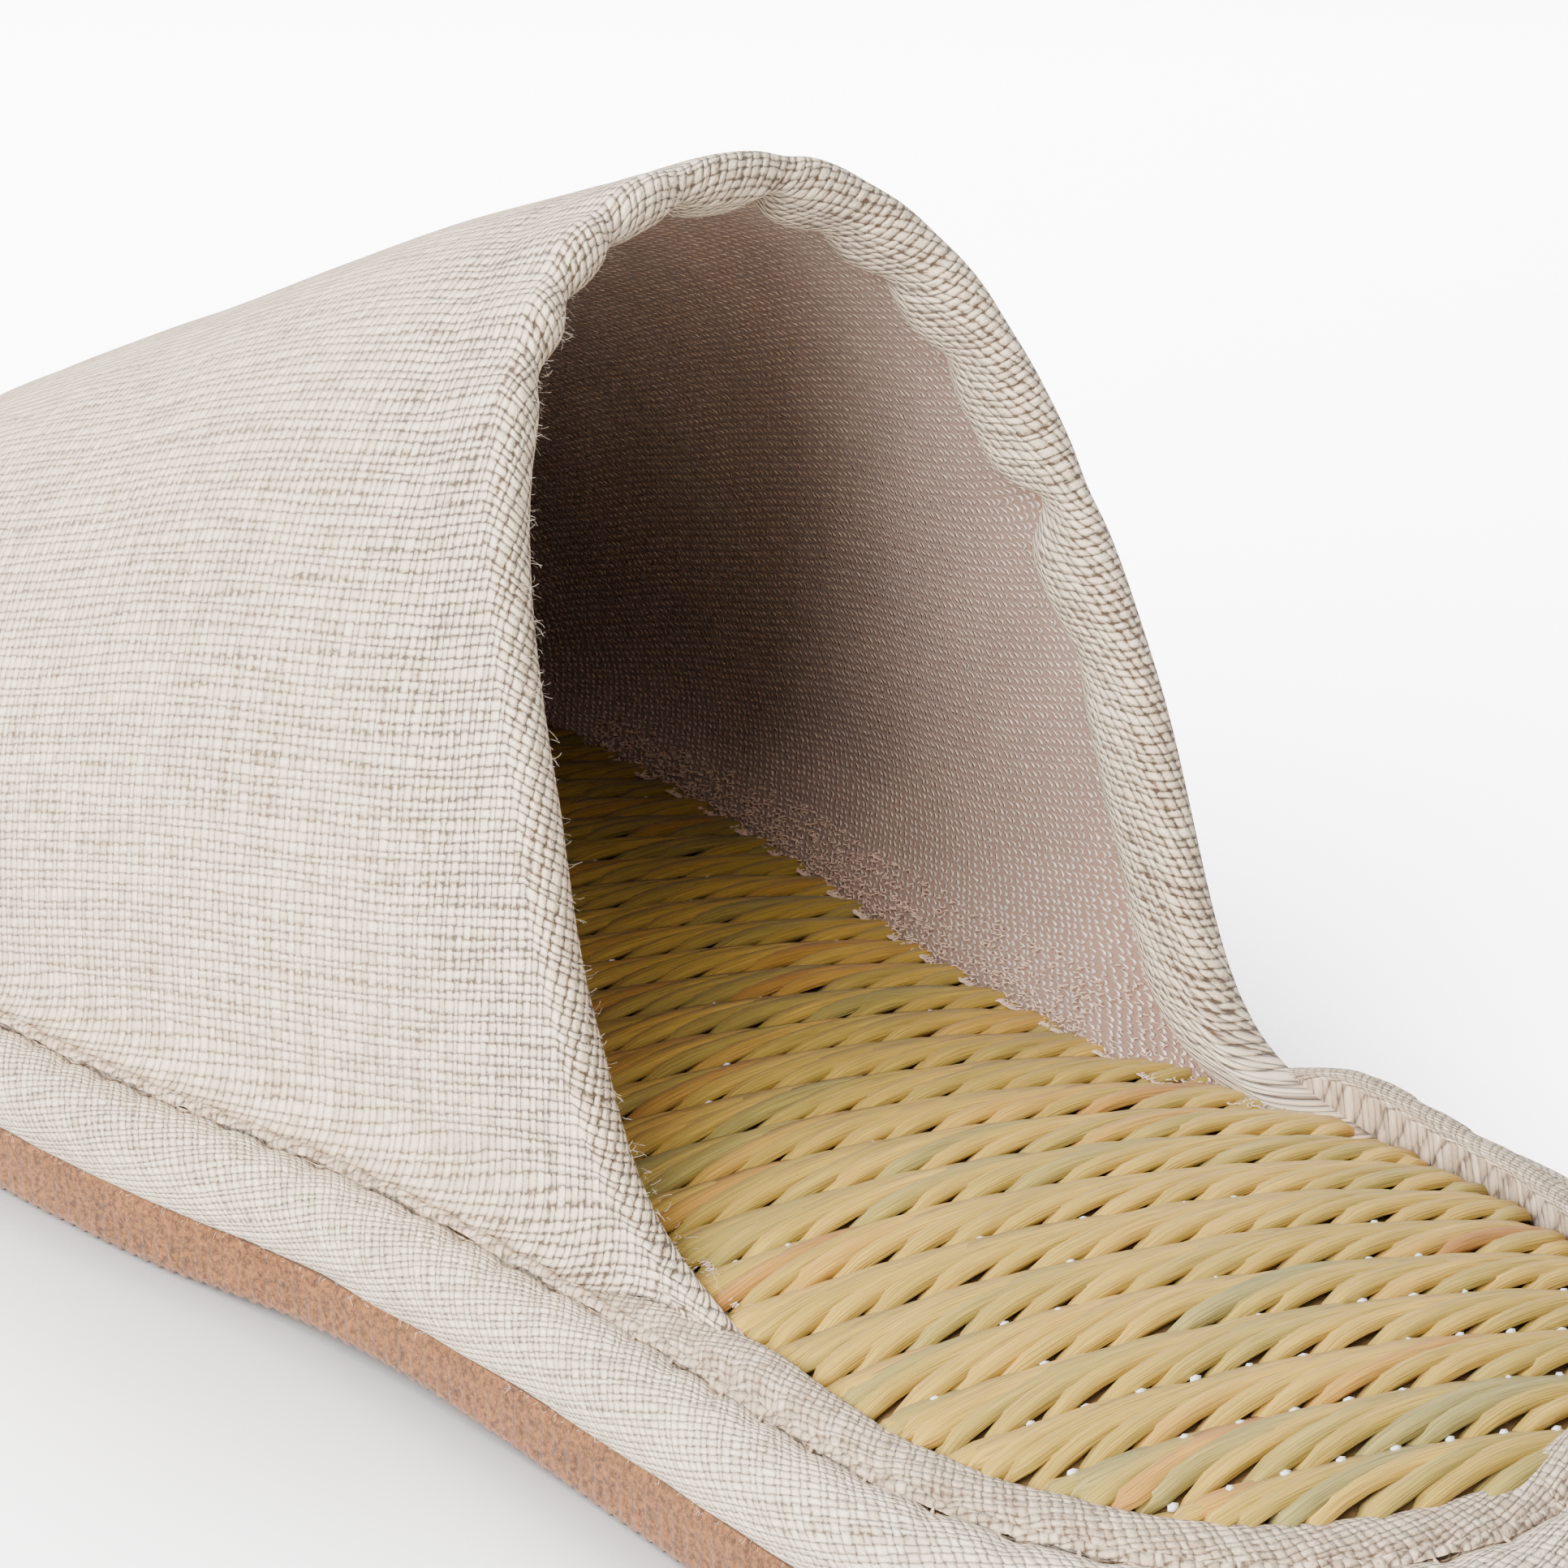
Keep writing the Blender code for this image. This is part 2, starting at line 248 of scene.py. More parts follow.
def feather_at(share):
    """Point, outward normal and run at a share of the feather line."""
    run = (share % 1.0) * FEATHER_RUN
    low = bisect.bisect_right(RUNS, run) - 1
    point, out, start = FEATHER[low]
    after, after_out, end = FEATHER[(low + 1) % len(FEATHER)]
    if end < start:
        end = FEATHER_RUN
    t = (run - start) / (end - start)
    return point.lerp(after, t), out.lerp(after_out, t).normalized(), share * FEATHER_RUN


def rounded_loop(points, share):
    """Point at a share of the smooth closed curve through a few points."""
    count = len(points)
    place = (share % 1.0) * count
    k = int(place)
    t = place - k
    p0, p1, p2, p3 = (points[(k + i) % count] for i in (-1, 0, 1, 2))
    return [
        b + 0.5 * t * (c - a + t * (2 * a - 5 * b + 4 * c - d + t * (3 * (b - c) + d - a)))
        for a, b, c, d in zip(p0, p1, p2, p3)
    ]


def add_object(name, data):
    """Put data into the scene as an object."""
    item = bpy.data.objects.new(name, data)
    bpy.context.scene.collection.objects.link(item)
    return item


def add_piece(name, mesh, material):
    """Put a mesh into the scene as a smooth piece that rides on the slipper."""
    piece = add_object(name, mesh)
    mesh.materials.append(material)
    mesh.shade_smooth()
    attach(piece, "root")
    return piece


def new_mesh(name, bm):
    """Turn a bmesh into a mesh."""
    mesh = bpy.data.meshes.new(name)
    bm.to_mesh(mesh)
    bm.free()
    return mesh


def cloth_grid(columns, rows, place):
    """A grid laid over a form: place gives a point and its cloth coordinates for two shares."""
    bm = bmesh.new()
    layer = bm.loops.layers.uv.new("cloth")
    fold_layer = bm.verts.layers.float.new("fold")
    bmesh.ops.create_grid(bm, x_segments=columns, y_segments=rows, size=0.5)
    cloth = {}
    for vert in bm.verts:
        point, coordinates, *fold = place(vert.co.x + 0.5, vert.co.y + 0.5)
        vert.co = point
        vert[fold_layer] = fold[0] if fold else 0.0
        cloth[vert] = coordinates
    for face in bm.faces:
        for loop in face.loops:
            loop[layer].uv = cloth[loop.vert]
    bmesh.ops.remove_doubles(bm, verts=bm.verts, dist=0.01 * MM)
    return bm


def closed_piece(name, columns, rows, place, material):
    """A closed form from a grid: what is open is filled and every face turned outwards."""
    bm = cloth_grid(columns, rows, place)
    edges = [edge for edge in bm.edges if edge.is_boundary]
    if edges:
        bmesh.ops.holes_fill(bm, edges=edges, sides=0)
    bmesh.ops.recalc_face_normals(bm, faces=bm.faces)
    return add_piece(name, new_mesh(name, bm), material)


def sheet_piece(name, columns, rows, place, material, thickness, facing):
    """A sheet of cloth with a thickness, its highest face turned up (1) or down (-1)."""
    bm = cloth_grid(columns, rows, place)
    bmesh.ops.recalc_face_normals(bm, faces=bm.faces)
    piece = add_piece(name, new_mesh(name, bm), material)
    mesh = piece.data
    if max(mesh.polygons, key=lambda face: face.center.z).normal.z * facing < 0:
        mesh.flip_normals()
    wall = piece.modifiers.new("cloth", "SOLIDIFY")
    wall.thickness = thickness
    wall.offset = -1.0
    return piece


def new_material(name, roughness, sheen=0.0):
    """A material with its shader's plain values set."""
    material = bpy.data.materials.new(name)
    material.use_nodes = True
    shader = material.node_tree.nodes["Principled BSDF"]
    shader.inputs["Roughness"].default_value = roughness
    shader.inputs["Sheen Weight"].default_value = sheen
    shader.inputs["Sheen Roughness"].default_value = 0.5
    return material, material.node_tree, shader


def add_node(tree, kind, inputs=None, **settings):
    """Add a shader node, set it up and wire its inputs, by name or number."""
    item = tree.nodes.new("ShaderNode" + kind)
    for key, value in settings.items():
        setattr(item, key, value)
    for key, value in (inputs or {}).items():
        if isinstance(value, bpy.types.NodeSocket):
            tree.links.new(value, item.inputs[key])
        else:
            item.inputs[key].default_value = value
    return item


def maths(tree, operation, *values):
    """A Math node's result."""
    inputs = dict(enumerate(values))
    return add_node(tree, "Math", inputs, operation=operation).outputs[0]


def mix_colour(tree, factor, first, second, blend="MIX"):
    """A blend of two colours."""
    inputs = {0: factor, 6: first, 7: second}
    item = add_node(tree, "Mix", inputs, data_type="RGBA", blend_type=blend)
    return item.outputs[2]


def fade(tree, value, low, high, to_low=0.0, to_high=1.0):
    """A value stretched from one range to another and kept inside it."""
    inputs = {"Value": value, "From Min": low, "From Max": high, "To Min": to_low, "To Max": to_high}
    return add_node(tree, "MapRange", inputs, clamp=True).outputs[0]


def noise_value(tree, vector, scale, detail=2.0, roughness=0.5):
    """A noise texture's value."""
    inputs = {"Vector": vector, "Scale": scale, "Detail": detail, "Roughness": roughness}
    return add_node(tree, "TexNoise", inputs).outputs[0]


def stretched(tree, vector, scale):
    """A vector multiplied along its axes."""
    inputs = {0: vector, 1: scale}
    return add_node(tree, "VectorMath", inputs, operation="MULTIPLY").outputs[0]


def shaded(tree, shade, value):
    """A colour made lighter or darker by a changing value."""
    grey = add_node(tree, "CombineColor", {0: value, 1: value, 2: value}).outputs[0]
    return mix_colour(tree, 1.0, shade, grey, "MULTIPLY")


def finish_surface(tree, shader, shade, height, depth, strength=1.0):
    """Wire a shade and a bump, its depth in millimetres, into the shader."""
    tree.links.new(shade, shader.inputs["Base Color"])
    bump = add_node(tree, "Bump", {"Height": height, "Strength": strength, "Distance": depth * MM})
    tree.links.new(bump.outputs[0], shader.inputs["Normal"])


def cloth_place(tree):
    """The cloth coordinates of a piece."""
    return add_node(tree, "UVMap", uv_map="cloth").outputs[0]


def piece_value(tree, name):
    """A value kept on a piece's points."""
    return add_node(tree, "Attribute", attribute_name=name, attribute_type="GEOMETRY").outputs["Fac"]


def object_place(tree):
    """A piece's own coordinates."""
    return add_node(tree, "TexCoord").outputs["Object"]


def make_weave_group():
    """Plain weave: Height and Tone of the threads, on coordinates counted in threads."""
    tree = bpy.data.node_groups.new("plain_weave", "ShaderNodeTree")
    tree.interface.new_socket("Threads", in_out="INPUT", socket_type="NodeSocketVector")
    for label, way in (("Wander", "INPUT"), ("Height", "OUTPUT"), ("Tone", "OUTPUT")):
        tree.interface.new_socket(label, in_out=way, socket_type="NodeSocketFloat")
    calc = functools.partial(maths, tree)
    source = tree.nodes.new("NodeGroupInput")
    result = tree.nodes.new("NodeGroupOutput")
    threads = source.outputs["Threads"]
    strays = []
    for scale in ((0.75, 0.05, 0.0), (0.05, 0.75, 7.0)):
        lane = noise_value(tree, stretched(tree, threads, scale), 1.0, 1.0, 0.6)
        centred = calc("SUBTRACT", lane, 0.5)
        strays.append(calc("MULTIPLY", centred, source.outputs["Wander"]))
    split = add_node(tree, "SeparateXYZ", {0: threads})
    humps = []
    cells = []
    for axis, stray in zip(("X", "Y"), strays):
        value = calc("ADD", split.outputs[axis], stray)
        centred = calc("MULTIPLY_ADD", calc("FRACT", value), 2.0, -1.0)
        humps.append(calc("SUBTRACT", 1.0, calc("MULTIPLY", centred, centred)))
        cells.append(calc("FLOOR", value))
    parity = calc("FLOORED_MODULO", calc("ADD", cells[0], cells[1]), 2.0)
    sign = calc("MULTIPLY_ADD", parity, -1.0, 0.5)
    heights = []
    for across, along, turn, level in ((0, 1, 1.0, 0.50), (1, 0, -1.0, 0.56)):
        bow = calc("MULTIPLY", calc("MULTIPLY", humps[along], sign), turn)
        raised = calc("ADD", bow, level)
        round_off = calc("POWER", humps[across], 0.8)
        heights.append(calc("MULTIPLY", round_off, raised))
    height = calc("MAXIMUM", heights[0], heights[1])
    upper_thread = calc("GREATER_THAN", heights[1], heights[0])
    tones = []
    for across, along in ((0, 1), (1, 0)):
        lane_number = calc("MULTIPLY", cells[across], 3.7)
        lane_run = calc("MULTIPLY", split.outputs[along], 0.22)
        lane = add_node(tree, "CombineXYZ", {0: lane_number, 1: lane_run})
        tones.append(noise_value(tree, lane.outputs[0], 1.0, 1.0, 0.6))
    tone_difference = calc("SUBTRACT", tones[1], tones[0])
    tone = calc("MULTIPLY_ADD", tone_difference, upper_thread, tones[0])
    thickness = calc("MULTIPLY_ADD", tone, 1.0, 0.50)
    tree.links.new(calc("MULTIPLY", height, thickness), result.inputs["Height"])
    tree.links.new(tone, result.inputs["Tone"])
    return tree


def make_linen(name, weave, pitch, turn, light, dark, pit_shade, deep_pit_shade=None, depth=0.38, fleck_amount=0.25):
    """Slubbed linen with painted shade in the gaps between threads; pitch and depth are in millimetres."""
    material, tree, shader = new_material(name, 0.88, 0.25)
    scale = 1.0 / pitch
    turned = {"Vector": cloth_place(tree), "Rotation": (0, 0, turn), "Scale": (scale, scale, 1.0)}
    threads = add_node(tree, "Mapping", turned).outputs[0]
    group = add_node(tree, "Group", {"Threads": threads, "Wander": THREAD_WANDER}, node_tree=weave)
    height = group.outputs["Height"]
    tone = group.outputs["Tone"]
    thread = mix_colour(tree, fade(tree, tone, 0.38, 0.60), dark, light)
    # Painted shade: the gaps between threads take the pit colour, darker and wider near the upper's hem.
    near_hem = piece_value(tree, "fold")
    gap_shade = mix_colour(tree, near_hem, pit_shade, deep_pit_shade or pit_shade)
    fuzz = noise_value(tree, threads, 3.2, 1.0, 0.7)
    gap_shade_mask = maths(tree, "MULTIPLY_ADD", fuzz, 0.75, maths(tree, "SUBTRACT", height, 0.41))
    gap_shade_mask = maths(tree, "MULTIPLY_ADD", near_hem, -0.10, gap_shade_mask)
    shade = mix_colour(tree, fade(tree, gap_shade_mask, 0.16, 0.54), gap_shade, thread)
    # Painted highlight and shade: thread tops lighter, lower parts of the threads darker.
    crest = fade(tree, height, 0.45, 1.05, 0.84, 1.08)
    shade = shaded(tree, shade, crest)
    fleck_noise = noise_value(tree, stretched(tree, threads, (0.16, 0.9, 1.0)), 1.0, 2.0, 0.7)
    fleck = fade(tree, fleck_noise, 0.70, 0.76, 0.0, fleck_amount)
    shade = mix_colour(tree, fleck, shade, (0.30, 0.20, 0.13, 1.0))
    cloudy = noise_value(tree, threads, 0.035, 2.0)
    clouds = fade(tree, cloudy, 0.3, 0.7, 0.94, 1.04)
    shade = shaded(tree, shade, clouds)
    finish_surface(tree, shader, shade, maths(tree, "MULTIPLY_ADD", fuzz, 0.50, height), depth)
    return material


def make_terry():
    """Terry lining: rows of short slanted loops in a warm pinkish taupe, with painted shade between the
    loops and painted highlights on them.
    """
    material, tree, shader = new_material("terry", 0.95, 0.35)
    calc = functools.partial(maths, tree)
    cloth = cloth_place(tree)
    drift = add_node(tree, "TexNoise", {"Vector": cloth, "Scale": 0.8, "Detail": 1.0})
    shift = {0: drift.outputs["Color"], 1: (0.55, 0.55, 0.0), 2: cloth}
    moved = add_node(tree, "VectorMath", shift, operation="MULTIPLY_ADD")
    split = add_node(tree, "SeparateXYZ", {0: moved.outputs[0]})
    row = calc("DIVIDE", split.outputs["Y"], TERRY_ROW)
    row_cell = calc("FLOOR", row)
    shift = calc("MULTIPLY", calc("FLOORED_MODULO", row_cell, 2.0), 0.5)
    column = calc("ADD", calc("DIVIDE", split.outputs["X"], TERRY_DASH), shift)
    column_cell = calc("FLOOR", column)
    cell = add_node(tree, "CombineXYZ", {0: column_cell, 1: row_cell})
    chance = add_node(tree, "TexWhiteNoise", {"Vector": cell.outputs[0]}, noise_dimensions="2D")
    jitter = calc("MULTIPLY_ADD", chance.outputs[0], 0.36, 0.32)
    across = calc("SUBTRACT", calc("FRACT", column), jitter)
    along = calc("SUBTRACT", calc("FRACT", row), 0.5)
    slant = calc("MULTIPLY_ADD", chance.outputs[0], 0.8, 0.45)
    leaning = calc("MULTIPLY_ADD", along, calc("MULTIPLY", slant, -1.0), across)
    curl = calc("MULTIPLY_ADD", calc("MULTIPLY", along, along), 1.3, leaning)
    wide = calc("DIVIDE", calc("SUBTRACT", curl, 0.08), 0.25)
    long = calc("DIVIDE", along, 0.50)
    squares = [calc("MULTIPLY", value, value) for value in (wide, long)]
    distance = calc("SQRT", calc("ADD", *squares))
    loop_height = fade(tree, distance, 1.15, 0.45)
    tone = calc("MULTIPLY_ADD", chance.outputs[0], 0.5, 0.5)
    # Painted shade and highlight: the ground between loops is painted dark and the loops painted bright,
    # varied by each loop's own tone.
    lit = calc("MULTIPLY", loop_height, tone)
    shade = mix_colour(tree, lit, (0.31, 0.18, 0.13, 1.0), (1.38, 1.06, 0.85, 1.0))
    cloudy = fade(tree, noise_value(tree, cloth, 0.10, 2.0), 0.3, 0.7, 0.90, 1.06)
    shade = shaded(tree, shade, cloudy)
    fuzz = noise_value(tree, cloth, 6.0, 1.0, 0.7)
    finish_surface(tree, shader, shade, calc("MULTIPLY_ADD", fuzz, 0.35, loop_height), 0.42)
    return material


def make_rush():
    """Dried rush: straw, olive, grey-green and orange-tan strands with fine streaks."""
    material, tree, shader = new_material("rush", 0.48, 0.08)
    shader.inputs["Specular IOR Level"].default_value = 0.35
    cloth = cloth_place(tree)
    tone = piece_value(tree, "strand")
    along_noise = noise_value(tree, stretched(tree, cloth, (0.15, 0.12, 1.0)), 1.0, 2.0)
    mixed = maths(tree, "MULTIPLY_ADD", maths(tree, "SUBTRACT", along_noise, 0.5), 0.35, tone)
    ramp = add_node(tree, "ValToRGB", {0: mixed})
    stops = (
        (0.00, (0.35, 0.285, 0.085, 1.0)),
        (0.20, (0.43, 0.315, 0.065, 1.0)),
        (0.42, (0.52, 0.335, 0.052, 1.0)),
        (0.66, (0.62, 0.385, 0.062, 1.0)),
        (0.86, (0.58, 0.300, 0.045, 1.0)),
        (1.00, (0.46, 0.200, 0.038, 1.0)),
    )
    elements = ramp.color_ramp.elements
    while len(elements) < len(stops):
        elements.new(0.5)
    for element, (place, value) in zip(elements, stops):
        element.position = place
        element.color = value
    fine = noise_value(tree, stretched(tree, cloth, (5.5, 0.16, 1.0)), 1.0, 2.0, 0.65)
    streak = fade(tree, fine, 0.34, 0.66, 0.58, 1.16)
    shade = shaded(tree, ramp.outputs[0], streak)
    # Painted shade: the strands darken towards the toe, where the inside of the slipper lies in shade.
    place = object_place(tree)
    lengthwise = add_node(tree, "SeparateXYZ", {0: place}).outputs["X"]
    painted_toe_shade = fade(tree, lengthwise, -0.03, 0.06, 0.60, 1.0)
    shade = shaded(tree, shade, painted_toe_shade)
    speck_noise = noise_value(tree, stretched(tree, cloth, (3.0, 1.2, 1.0)), 1.0, 3.0, 0.8)
    speck = fade(tree, speck_noise, 0.66, 0.74, 0.0, 0.55)
    shade = mix_colour(tree, speck, shade, (0.22, 0.13, 0.05, 1.0))
    finish_surface(tree, shader, shade, fine, 0.16, 0.9)
    rough = fade(tree, fine, 0.3, 0.7, 0.38, 0.62)
    tree.links.new(rough, shader.inputs["Roughness"])
    return material


def make_suede():
    """Tan outsole with a fine speckled nap."""
    material, tree, shader = new_material("outsole_suede", 0.92, 0.2)
    place = object_place(tree)
    grain = noise_value(tree, place, 1700.0, 3.0, 0.8)
    broad = noise_value(tree, place, 140.0, 3.0, 0.6)
    speck = fade(tree, grain, 0.38, 0.62)
    shade = mix_colour(tree, speck, (0.065, 0.023, 0.006, 1.0), (0.270, 0.100, 0.025, 1.0))
    cloudy = fade(tree, broad, 0.3, 0.7, 0.90, 1.06)
    shade = shaded(tree, shade, cloudy)
    finish_surface(tree, shader, shade, grain, 0.20, 0.9)
    return material


def make_plain(name, value, roughness, grain_scale, grain_depth, spread=0.15):
    """Plain finish with a fine grain."""
    material, tree, shader = new_material(name, roughness)
    place = object_place(tree)
    grain = noise_value(tree, place, grain_scale, 3.0, 0.6)
    shade = shaded(tree, (*value, 1.0), fade(tree, grain, 0.3, 0.7, 1.0 - spread, 1.0 + spread))
    finish_surface(tree, shader, shade, grain, grain_depth, 0.8)
    return material


# Outsole

RIB_PITCH = 1.9 * MM
RIB_DEPTH = 0.95 * MM
OUTSOLE_SIDE = (
    (-0.40, 0.00), (-0.15, 0.04), (0.0, 0.14), (0.0, 0.35),
    (0.0, 0.62), (-0.1, 0.85), (-0.4, 1.00),
)


@functools.lru_cache(maxsize=None)
def sole_width(x, reach):
    """Half the width at X, a reach outside the feather line."""
    widest = 0.0
    for (low, low_out, _), (high, high_out, _) in zip(FEATHER, FEATHER[1:] + FEATHER[:1]):
        first = low + low_out * reach
        last = high + high_out * reach
        if (first.x - x) * (last.x - x) <= 0.0 and first.x != last.x:
            t = (x - first.x) / (last.x - first.x)
            widest = max(widest, abs(first.y + (last.y - first.y) * t))
    return widest


def make_outsole(material):
    """The suede-like sheet, with fine cross ribs underneath."""
    reach = ROLL_REACH - OUTSOLE_INSET
    half = 0.5 * FEATHER_LENGTH + reach
    stations = 900
    bottom = 6
    ring = [(1.0 - 2.0 * k / bottom, OUTSOLE_SIDE[0]) for k in range(bottom + 1)]
    ring += [(-1.0, step) for step in OUTSOLE_SIDE[1:]]
    ring += [(share, OUTSOLE_SIDE[-1]) for share in (-0.5, 0.0, 0.5)]
    ring += [(1.0, step) for step in reversed(OUTSOLE_SIDE[1:])]
    count = len(ring)

    def place(a, b):
        x = half * cos(pi * a)
        share, (out, up) = ring[round(b * count) % count]
        rib = 0.5 - 0.5 * cos(2 * pi * x / RIB_PITCH)
        rib *= 0.75 + 0.25 * lumps(x, 0.0, 0.0, 6 * MM, 4.0)
        side = sole_width(x, reach)
        wave = 0.10 * lumps(x, 0.0, share * 0.01, 9 * MM) + 0.36 * (rib - 0.5) * (1.0 - up)
        y = share * max(side + (out + wave) * MM * min(side / (12 * MM), 1.0), 0.0)
        z = up * OUTSOLE_THICK
        z += RIB_DEPTH * rib * max(1.0 - 2.2 * up, 0.0)
        z += lift(x) + ARCH_LIFT * waist(x) * (1.0 - up)
        return Vector((x, y, z)), (x / MM, b * 100.0)

    piece = closed_piece("outsole_sheet", stations, count, place, material)
    piece.data.set_sharp_from_angle(angle=radians(50))
    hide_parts("outsole")


# Linen roll and strip around the sole

ROLL_LOOP = (
    (3.0, 0.00), (6.2, -0.02), (8.0, 0.02), (8.8, 0.20), (9.1, 0.42), (8.8, 0.66),
    (7.7, 0.88), (6.2, 1.02), (4.8, 1.07), (3.7, 1.05), (2.9, 0.98), (2.3, 0.60),
)
PUCKER_PITCH = 6.2 * MM


def pucker(run, sharp=3.0):
    """How deep the crease is pinched at a run, from 0 to 1."""
    wander = 0.25 * sin(run / (31 * MM)) + 0.2 * sin(run / (13 * MM))
    wave = 0.5 + 0.5 * cos(2 * pi * (run / PUCKER_PITCH + wander))
    return wave**sharp * (0.55 + 0.45 * sin(run / (9.7 * MM)) ** 2)


def make_rim_roll(material):
    """Linen roll around the midsole board, pinched along the crease."""

    def place(a, b):
        base, out, run = feather_at(a)
        reach, up = rounded_loop(ROLL_LOOP, b)
        crest = smooth(4.0, 7.0, reach)
        soft = 0.35 * lumps(base.x, base.y, b * 0.004, 17 * MM, 3.1)
        soft += 0.22 * lumps(base.x, base.y, b * 0.006, 7 * MM, 5.7)
        pinch = pucker(run) * smooth(7.6, 3.6, reach) * smooth(0.6, 0.95, up)
        reach = reach + soft * crest
        height = ROLL_LOW[2] + up * (STRIP_BASE - GAP - ROLL_LOW[2])
        height += 0.25 * MM * lumps(base.x, base.y, 0.0, 12 * MM, 8.8) * smooth(0.5, 1.0, up)
        height += 2.7 * MM * far_rise(base) * smooth(0.2, 1.0, up)
        height -= 0.50 * MM * pinch + 0.30 * MM * smooth(4.4, 2.9, reach) * smooth(0.6, 0.9, up)
        point = base + out * (reach * MM)
        point.z = height + lift(point.x)
        return point, (run / MM, b * 34.0)

    piece = closed_piece("rim_roll_linen", 880, 30, place, material)
    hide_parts("rim_roll")


STRIP_LOOP = (
    (3.3, -0.45), (3.15, 0.20), (2.6, 0.80), (1.7, 1.12), (0.6, 1.30),
    (-0.3, 1.36), (-0.9, 1.20), (-0.9, 0.90), (0.2, 0.00), (1.4, -0.20),
)


def far_rise(base):
    """How far the far edge stands up behind the opening, from 0 to 1."""
    return smooth(-5 * MM, 14 * MM, base.y) * smooth(46 * MM, 72 * MM, base.x)


def hem_swell(base):
    """Swelling of the strip at the hem's feet."""
    if base.y < 0:
        return 0.6 * exp(-(((base.x - 76 * MM) / (9 * MM)) ** 2))
    return 1.2 * exp(-(((base.x - 72 * MM) / (11 * MM)) ** 2))


def under_upper(x):
    """How far X lies under the upper's foot, from 0 at the open heel to 1."""
    return smooth(OPENING_CORNER + HEM_WIDTH - 1 * MM, OPENING_CORNER - 5 * MM, x)


def make_edge_strip(material):
    """Narrow linen binding, drawn down at each stitch."""

    def place(a, b):
        base, out, run = feather_at(a)
        reach, up = rounded_loop(STRIP_LOOP, b)
        pinch = pucker(run) * smooth(1.2, 2.8, reach)
        up -= 0.32 * pinch + 0.95 * under_upper(base.x) * smooth(0.0, 0.6, up)
        up += 0.22 * lumps(base.x, base.y, 0.0, 8 * MM, 1.3) * smooth(0.2, 1.0, up)
        up += (2.1 * far_rise(base) + hem_swell(base)) * smooth(0.0, 0.8, up)
        reach += 0.25 * lumps(base.x, base.y, 0.0, 11 * MM, 6.3)
        point = base + out * (reach * MM)
        point.z = STRIP_BASE + up * (STRIP_HIGH[2] - TOE_SPRING - STRIP_BASE) + lift(point.x)
        return point, (run / MM, b * 16.0)

    piece = closed_piece("edge_strip_linen", 880, 18, place, material)
    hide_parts("edge_strip")


# Rush mat


def mat_top(x, y):
    """Height of the mat's crown."""
    width = max(half_width(share_at(x)), 1e-6)
    ends = min(rounding(share_at(x), 0.2, 2.0), rounding(1.0 - share_at(x), 0.2, 2.0))
    across = 1.0 - min(abs(y) / width, 1.0) ** 2.2
    return MAT_EDGE + MAT_CROWN * across * ends + lift(x)


def make_mat_bed(material):
    """Body of the mat under the strands, coloured dark as painted shade between the strands."""
    half = 0.5 * FEATHER_LENGTH - 0.4 * MM

    def place(a, b):
        x = half * cos(pi * a)
        around = b * 24.0
        width = half_width(share_at(x)) * 0.995
        if around <= 20.0:
            y = -width * cos(pi * around / 20.0)
            z = mat_top(x, y) - 1.0 * MM
        else:
            y = width * (1.0 - (around - 20.0) / 2.0)
            z = MAT_LOW[2] + lift(x)
        return Vector((x, y, z)), (x / MM, b * 100.0)

    piece = closed_piece("mat_bed", 120, 24, place, material)


def mat_rows():
    """Where the first row crosses the middle, the number of rows and their pitch."""
    places = [point.x - ROW_LEAN * point.y for point, _, _ in FEATHER]
    heel, toe = max(places), min(places)
    rows = round((heel - toe) / ROW_PITCH)
    return heel, rows, (heel - toe) / rows


def strand_path(rear, start, pitch, chance):
    """Path of one strand, from its row's rear line to the front one."""
    path = []
    lean = chance.uniform(-0.05, 0.05)
    for k in range(12):
        t = -0.07 + 1.16 * k / 11.0
        u = t + 0.15 * sin(pi * t) + lean * sin(2 * pi * t)
        y = start + STRAND_SPAN * WARP_PITCH * t
        x = rear + ROW_LEAN * y - u * pitch
        inside = min(max(u, 0.0), 1.0)
        ridge = ROW_RELIEF * (sin(pi * inside) ** 0.6 - 0.6)
        sink = smooth(0.09, -0.07, t) + 0.75 * smooth(0.84, 1.09, t)
        path.append((x, y, ridge - STRAND_SINK * sink, t))
    return path


def column_y(column, row):
    """Y of a warp column, set off by a third of a column a row."""
    return -0.5 * FEATHER_WIDTH + (column + (row % 3) / 3.0) * WARP_PITCH


def add_strand(bm, layer, tone_layer, path, tone, half, chance):
    """One flattened strand along its path, closed at both ends."""
    sides = 5
    steps = len(path) - 1
    made = bmesh.ops.create_grid(bm, x_segments=steps, y_segments=sides, size=0.5)
    phase = chance.uniform(0.0, 60.0)
    spin = chance.uniform(-0.35, 0.35)
    places = {}
    for vert in made["verts"]:
        k = round((vert.co.x + 0.5) * steps)
        j = round((vert.co.y + 0.5) * sides)
        x, y, z, t = path[k]
        before = path[max(k - 1, 0)]
        after = path[min(k + 1, steps)]
        along = Vector((after[0] - before[0], after[1] - before[1], after[2] - before[2])).normalized()
        up = Vector((0.0, 0.0, 1.0))
        across = along.cross(up).normalized()
        up = across.cross(along)
        taper = (0.50 + 0.50 * smooth(-0.05, 0.20, t)) * (1.0 - 0.50 * smooth(0.60, 1.08, t))
        if k in (0, steps):
            taper *= 0.1
        angle = 2 * pi * j / sides + spin
        ruffle = 1.0 + 0.08 * sin(2.0 * angle + phase + 3.0 * t)
        offset = across * (half * taper * ruffle * cos(angle))
        offset += up * (STRAND_THICK * taper * sin(angle))
        places[vert] = (Vector((x, y, z)) + offset, (half * 6.0 * j / sides / MM + phase, phase + t * 17.0))
    for face in {face for vert in made["verts"] for face in vert.link_faces}:
        for loop in face.loops:
            loop[layer].uv = places[loop.vert][1]
    for vert, (point, _) in places.items():
        vert.co = point
        vert[tone_layer] = tone
    return list(places)


